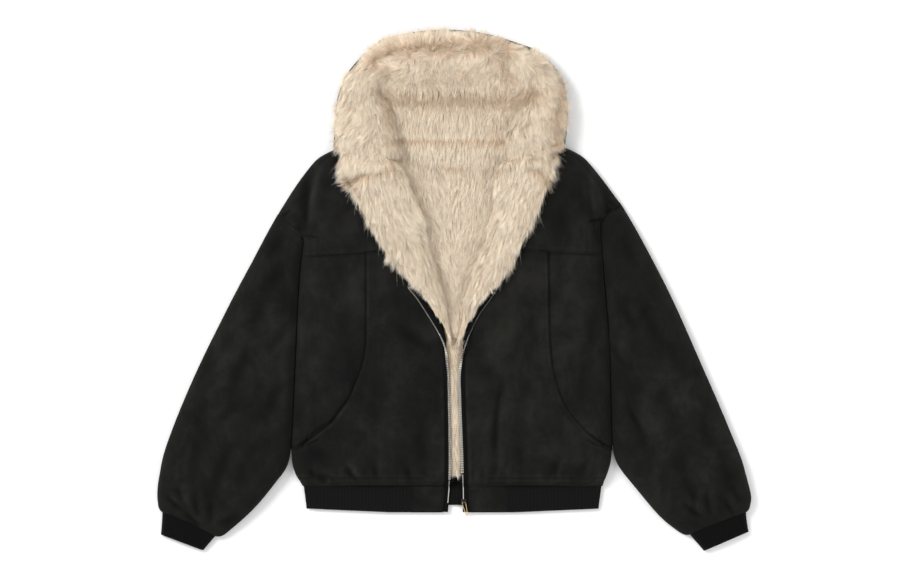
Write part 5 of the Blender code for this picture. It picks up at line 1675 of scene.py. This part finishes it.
def grow_hair(name, cushion, count, length, seed, is_open):
    """Grow ribbons of hair on a cushion, gathered into locks."""
    dice = np.random.default_rng(seed)
    roots, normals, area = sample_roots(cushion.data, count, dice, is_open)
    locks = make_locks(cushion.data, roots, area, length, dice, is_open)
    path, wisp = lock_paths(roots, normals, locks, dice)
    points = ribbon_points(path, normals, wisp, dice)
    soft = normals + (path[:, 2] - path[:, 0]) / length * 0.2
    soft /= np.linalg.norm(soft, axis=1)[:, None]
    mesh = ribbon_mesh(name, points, soft, hair_colors(roots, locks, dice))
    print(name, len(roots), "hairs,", triangle_count(mesh), "triangles")
    return add_object(name, mesh)


# %% [markdown]
# Hair that lies under another piece of pile is never seen, except close to that piece's
# edge, where one can look in below it. The test shoots a ray straight up from a root, and on
# the flat pieces a second one from a little further in. No hair stands against the inside of
# the hood's black wall either.


# %% Where hair can be seen
NECK_MIDDLE = Vector((0, 0.22, 0))           # metres
NECK_WIDTH, NECK_END = 130.0, -60.0          # beyond these the back lining's hair is never seen
UNDER_EDGE = 16.0           # hair also grows this far in under the pieces that lie over it
SIDEWAYS = 0.75             # the way in to the neck keeps this share of its run to the side
OFF_CUSHION, SKY_REACH, WALL_REACH = 0.009, 0.1, 0.04        # metres
UP, DOWN = Vector((0, 0, 1)), Vector((0, 0, -1))
hood_wall = blocker("hood_shell_left", "hood_shell_right", "hood_shell_crown")


def open_to_sky(covers, flat):
    """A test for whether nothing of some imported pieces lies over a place."""
    tree = blocker(*covers) if covers else None

    def test(place):
        outward = Vector((place[0], place[1] - HOOD_MIDDLE, 0)).normalized()
        if not flat and hood_wall.ray_cast(Vector(place) * MM, outward, WALL_REACH)[0]:
            return False
        if tree is None:
            return True
        if flat and (abs(place[0]) > NECK_WIDTH or place[1] < NECK_END):
            return False
        start = Vector(place) * MM + UP * OFF_CUSHION
        if tree.ray_cast(start, UP, SKY_REACH)[0] is None:
            return True
        inward = NECK_MIDDLE - start
        inward.z = 0
        inward.x *= SIDEWAYS
        start = start + inward.normalized() * UNDER_EDGE * MM
        return flat and tree.ray_cast(start, UP, SKY_REACH)[0] is None
    return test


print("hair is kept up to", UNDER_EDGE, "mm in under the edge of what lies over it")

# %% [markdown]
# The table lists the pieces of pile with their hair. The back lining lies lowest and the
# hood's rolls highest. A cushion and its hair belong together: the cushion stands for the
# imported solid, and the hair is its child.

# %% The list of the pieces of pile
fronts = [n + s for s in SIDES for n in ("front_centre_", "lapel_fur_", "front_lining_",
                                         "front_side_", "yoke_", "sleeve_")]
hood = ["hood_fur_left", "hood_fur_right", "hood_fur_crown"]
lapels = ["lapel_fur_left", "lapel_fur_right"]
Pile = namedtuple("Pile", "node lift crease_angle relief count length cover")
PILES = [
    Pile("back_lining", 3.0, 40, 0.5, 34000, 25, fronts + hood + ["hood_fur_back"]),
    Pile("hood_fur_back", 3.0, 40, 0.5, 18000, 25, hood + lapels),
    Pile("lapel_fur_left", HAIR_LIFT, 60, 1.0, 34000, 25, ["hood_fur_left"]),
    Pile("lapel_fur_right", HAIR_LIFT, 60, 1.0, 33000, 25, ["hood_fur_right"]),
    Pile("hood_fur_left", HAIR_LIFT, 60, 1.0, 27000, 23, []),
    Pile("hood_fur_right", HAIR_LIFT, 60, 1.0, 27000, 23, []),
    Pile("hood_fur_crown", HAIR_LIFT, 60, 1.0, 31000, 22, []),
]
QUICK_SHARE = 1.0
# the furrow value is painted shade that darkens the cushion near the furrows
PAD_FILL, ROOT_TINT, FURROW_SHADE = 0.5, 1.15, 0.35


def tint_cushion(cushion):
    """Give the cushion the colour of the hair's roots, with painted shade in the furrows."""
    points = get_points(cushion.data)
    _, near = furrow_depth(points[:, 0], points[:, 1])
    rgb = ROOT_COLOR[None, :] * ROOT_TINT * (1 - FURROW_SHADE * near[:, None])
    paint(cushion.data, "hair_color", rgb)


def add_hair(cushion, node, count, length, seed, is_open, name):
    """Grow a piece's hair, and hand the cushion and its hair over together."""
    tint_cushion(cushion)
    hair = grow_hair(name, cushion, int(count * QUICK_SHARE), length, seed, is_open)
    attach(cushion, "jacket")
    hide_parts(node)
    hair.parent = cushion


print("to grow:", sum(pile.count for pile in PILES), "hairs on", len(PILES), "cushions")

# %% [markdown]
# Now the pile grows, piece by piece. This takes longer than any other step, because a ray
# goes up from every root to look whether it is covered.

# %% Grow the pile
for number, pile in enumerate(PILES):
    flat = "back" in pile.node
    others = [] if flat else [n for n in hood + lapels + ["hood_fur_back"] if n != pile.node]
    cushion = make_cushion(pile.node, 2, pile.lift, pile.crease_angle, pile.relief, others, flat)
    add_hair(cushion, pile.node, pile.count, pile.length, seed=100 + number,
             is_open=open_to_sky(pile.cover, flat),
             name=pile.node.replace("fur", "hair").replace("lining", "hair"))

# %% [markdown]
# The linings inside the fronts can't be seen. They only fill the fronts, so they stay plain
# cushions without hair, drawn in a little so that they don't poke through the cloth.

# %% The hidden linings
LINING_SHARE = np.array((0.85, 0.94, 0.86))       # in X, Y and Z
LINING_SHIFT = 0.12              # they are drawn in towards a place this far from the middle
for label in SIDES:
    bm = node_bmesh("front_lining_" + label)
    cushion = smooth_copy("front_lining_" + label + "_cushion", bm, 1, 60)
    points = get_points(cushion.data)
    pivot = points.mean(0)
    pivot[0] += SIDES[label] * LINING_SHIFT * np.ptp(points[:, 0])
    points = pivot + (points - pivot) * LINING_SHARE
    points[:, 2] -= points[:, 2].min() - 0.3
    set_points(cushion.data, points)
    cushion.data.materials.append(PILE)
    tint_cushion(cushion)
    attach(cushion, "jacket")
    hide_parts("front_lining_" + label)
    print(cushion.name, triangle_count(cushion.data), "triangles")

# %% [markdown]
# In the narrow gap between the two rows of teeth the pile of both fronts swells up from
# below, nearly as high as the teeth. A raised strip of pile fills it, rounded across, and
# ends in ragged locks above the hem band.


# %% The pile in the open front
Rise = namedtuple("Rise", "y z")
SLIT_RISE = [Rise(-313, 15), Rise(-308, 18), Rise(-296, 21), Rise(-250, 23), Rise(-130, 24),
             Rise(-100, 28), Rise(-70, 25), Rise(-30, 16), Rise(0, 9)]
SLIT_ROWS, SLIT_COLUMNS = 90, 8
SLIT_OVERLAP, SLIT_ROUND = 0.5, 3
SLIT_FOOT, TEETH_ROOM = -309, 1.8


def line_x(label, y):
    """Where the teeth of one side stand in X, at a place in Y."""
    line = np.array(ZIP_LINE[label])
    return SIDES[label] * np.interp(y, line[:, 1], line[:, 0])


def make_slit_cushion():
    """A strip between the rows of teeth, rounded across."""
    points, faces = [], []
    for y in np.linspace(SLIT_RISE[0].y, SLIT_RISE[-1].y, SLIT_ROWS):
        left, right = line_x("left", y) - SLIT_OVERLAP, line_x("right", y) + SLIT_OVERLAP
        height = np.interp(y, [r.y for r in SLIT_RISE], [r.z for r in SLIT_RISE])
        for share in np.linspace(0, 1, SLIT_COLUMNS):
            x = left + (right - left) * share
            points.append((x, y, height - SLIT_ROUND * (2 * share - 1) ** 4))
    for row in range(SLIT_ROWS - 1):
        for column in range(SLIT_COLUMNS - 1):
            i = row * SLIT_COLUMNS + column
            faces.append((i, i + 1, i + SLIT_COLUMNS + 1, i + SLIT_COLUMNS))
    mesh = bpy.data.meshes.new("slit_pile_cushion")
    mesh.from_pydata([tuple(x * MM for x in p) for p in points], [], faces)
    mesh.shade_smooth()
    mesh.materials.append(PILE)
    return add_object("slit_pile_cushion", mesh)


def in_slit(place):
    """Whether a hair's root is clear of the teeth and of the hem band."""
    left, right = line_x("left", place[1]), line_x("right", place[1])
    return place[1] > SLIT_FOOT and left + TEETH_ROOM < place[0] < right - TEETH_ROOM


add_hair(make_slit_cushion(), "back_lining", count=10000, length=16, seed=131,
         is_open=in_slit, name="slit_hair")

# %% [markdown]
# ## Sewing
#
# A row of topstitches holds the yoke seam, the pocket mouth and the front edges. The rows
# follow the seams a few millimetres away, so a seam is a table of places, and the row is
# that line shifted sideways.

# %% Where the seams run
YOKE_SEAM = {"left": [Place(-252, 60), Place(-213, 66), Place(-140, 71)],
             "right": [Place(132, 70), Place(222, 71), Place(246, 64)]}
POCKET_MOUTH = {
    "left": [Place(-150.5, 62), Place(-150.5, -92), Place(-157, -129), Place(-169, -160),
             Place(-183, -187), Place(-203, -216), Place(-231, -242), Place(-258, -262)],
    "right": [Place(158, 62), Place(161.5, -92), Place(165.5, -130), Place(171, -160),
              Place(181, -187), Place(201, -216), Place(226, -242), Place(252, -262)]}
YOKE_OFFSET, MOUTH_OFFSET, EDGE_OFFSET = 5.0, 7.0, 9.5
EDGE_FOOT, EDGE_TOP, EDGE_PLACES = -322, -118, 12


def shift_line(line, offset):
    """Move a line sideways, to the left of the way that it runs."""
    points = np.array(line, float)
    run = np.gradient(points, axis=0)
    run /= np.linalg.norm(run, axis=1)[:, None]
    return points + np.column_stack([-run[:, 1], run[:, 0]]) * offset


SEAMS = {}
for label, side in SIDES.items():
    heights = np.linspace(EDGE_FOOT, EDGE_TOP, EDGE_PLACES)
    SEAMS[label] = (shift_line(YOKE_SEAM[label], YOKE_OFFSET),
                    shift_line(POCKET_MOUTH[label], -side * MOUTH_OFFSET),
                    np.array([(line_x(label, y) + side * EDGE_OFFSET, y) for y in heights]))
print("rows of stitches on each side:", len(SEAMS["left"]))

# %% [markdown]
# Each stitch is a short length of black thread that sits in the cloth. A dashed line in the
# material would do from afar, but it would stay flat. Here every stitch is a small spindle
# of its own, dropped from above until it meets the cloth, and turned with it.


# %% Stitches on the cloth
STITCH_PITCH, STITCH_LENGTH, THREAD_RADIUS, THREAD_LIFT = 4.2, 3.0, 0.3, 0.15
ABOVE_ALL = 90
QUARTERS = [0, math.pi / 2, math.pi, 3 * math.pi / 2]
THREAD, _, _ = principled("black_thread", (0.007, 0.007, 0.0065), 0.8, Specular_IOR_Level=0.1)


def cloth_surface(node):
    """A search tree over a piece of cloth."""
    mesh = cloth[node].data
    return BVHTree.FromPolygons([v.co for v in mesh.vertices], [p.vertices for p in mesh.polygons])


def stitch_row(name, line, surface):
    """Set stitches down along a line of the plan, onto the cloth below it."""
    bm = bmesh.new()
    walk = smooth_line(np.column_stack([line, np.zeros(len(line))]), STITCH_PITCH)
    for (x, y, _), (nx, ny, _) in zip(walk, walk[1:]):
        hit, normal, _, _ = surface.ray_cast(Vector((x, y, ABOVE_ALL)) * MM, DOWN)
        if not hit:
            continue
        run = Vector((nx - x, ny - y, 0)).normalized()
        side = normal.cross(run).normalized()
        middle = hit / MM + normal * THREAD_LIFT
        ends = [bm.verts.new(middle + run * (k * STITCH_LENGTH / 2)) for k in (-1, 1)]
        ring = [bm.verts.new(middle + (side * math.cos(a) + normal * math.sin(a)) * THREAD_RADIUS)
                for a in QUARTERS]
        for k in range(4):
            bm.faces.new((ends[1], ring[k], ring[(k + 1) % 4]))
            bm.faces.new((ends[0], ring[(k + 1) % 4], ring[k]))
    piece = mesh_object(name, bm, THREAD)
    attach(piece, "jacket")
    print(name, triangle_count(piece.data) // 8, "stitches")
    return piece


for label, (seam, mouth, edge) in SEAMS.items():
    yoke, centre = "yoke_" + label, "front_centre_" + label
    sewn[yoke] = [stitch_row("yoke_stitches_" + label, seam, cloth_surface(yoke))]
    sewn[centre] = [stitch_row("pocket_stitches_" + label, mouth, cloth_surface(centre)),
                    stitch_row("front_stitches_" + label, edge, cloth_surface(centre))]

# %% [markdown]
# ## The cut of a sheet
#
# Before it was sewn, every piece of cloth was flat. A cut gives the width and the length of
# the rectangle that what shows of a piece was cut from, the share of the rectangle that it
# fills and what it rests on. A sleeve and a cuff would be counted all round. The front pieces
# lie on the pile of their lining. Only the form of a cut is set out here; the loop reads
# each piece's side from its name and gives no piece a cut.

Cut = namedtuple("Cut", "width length share rests_on")
for node, piece in cloth.items():
    label = node.rpartition("_")[2]
print("declared", len(cloth), "sheets of cloth")

# %% [markdown]
# ## The count of triangles
#
# The triangles of everything that is drawn, but for the floor, are counted.

# %% Count the triangles of the whole
total = sum(triangle_count(o.data) for o in bpy.data.objects
            if o.type == "MESH" and not o.hide_render and o.name != "floor")
print("triangles in all:", total)
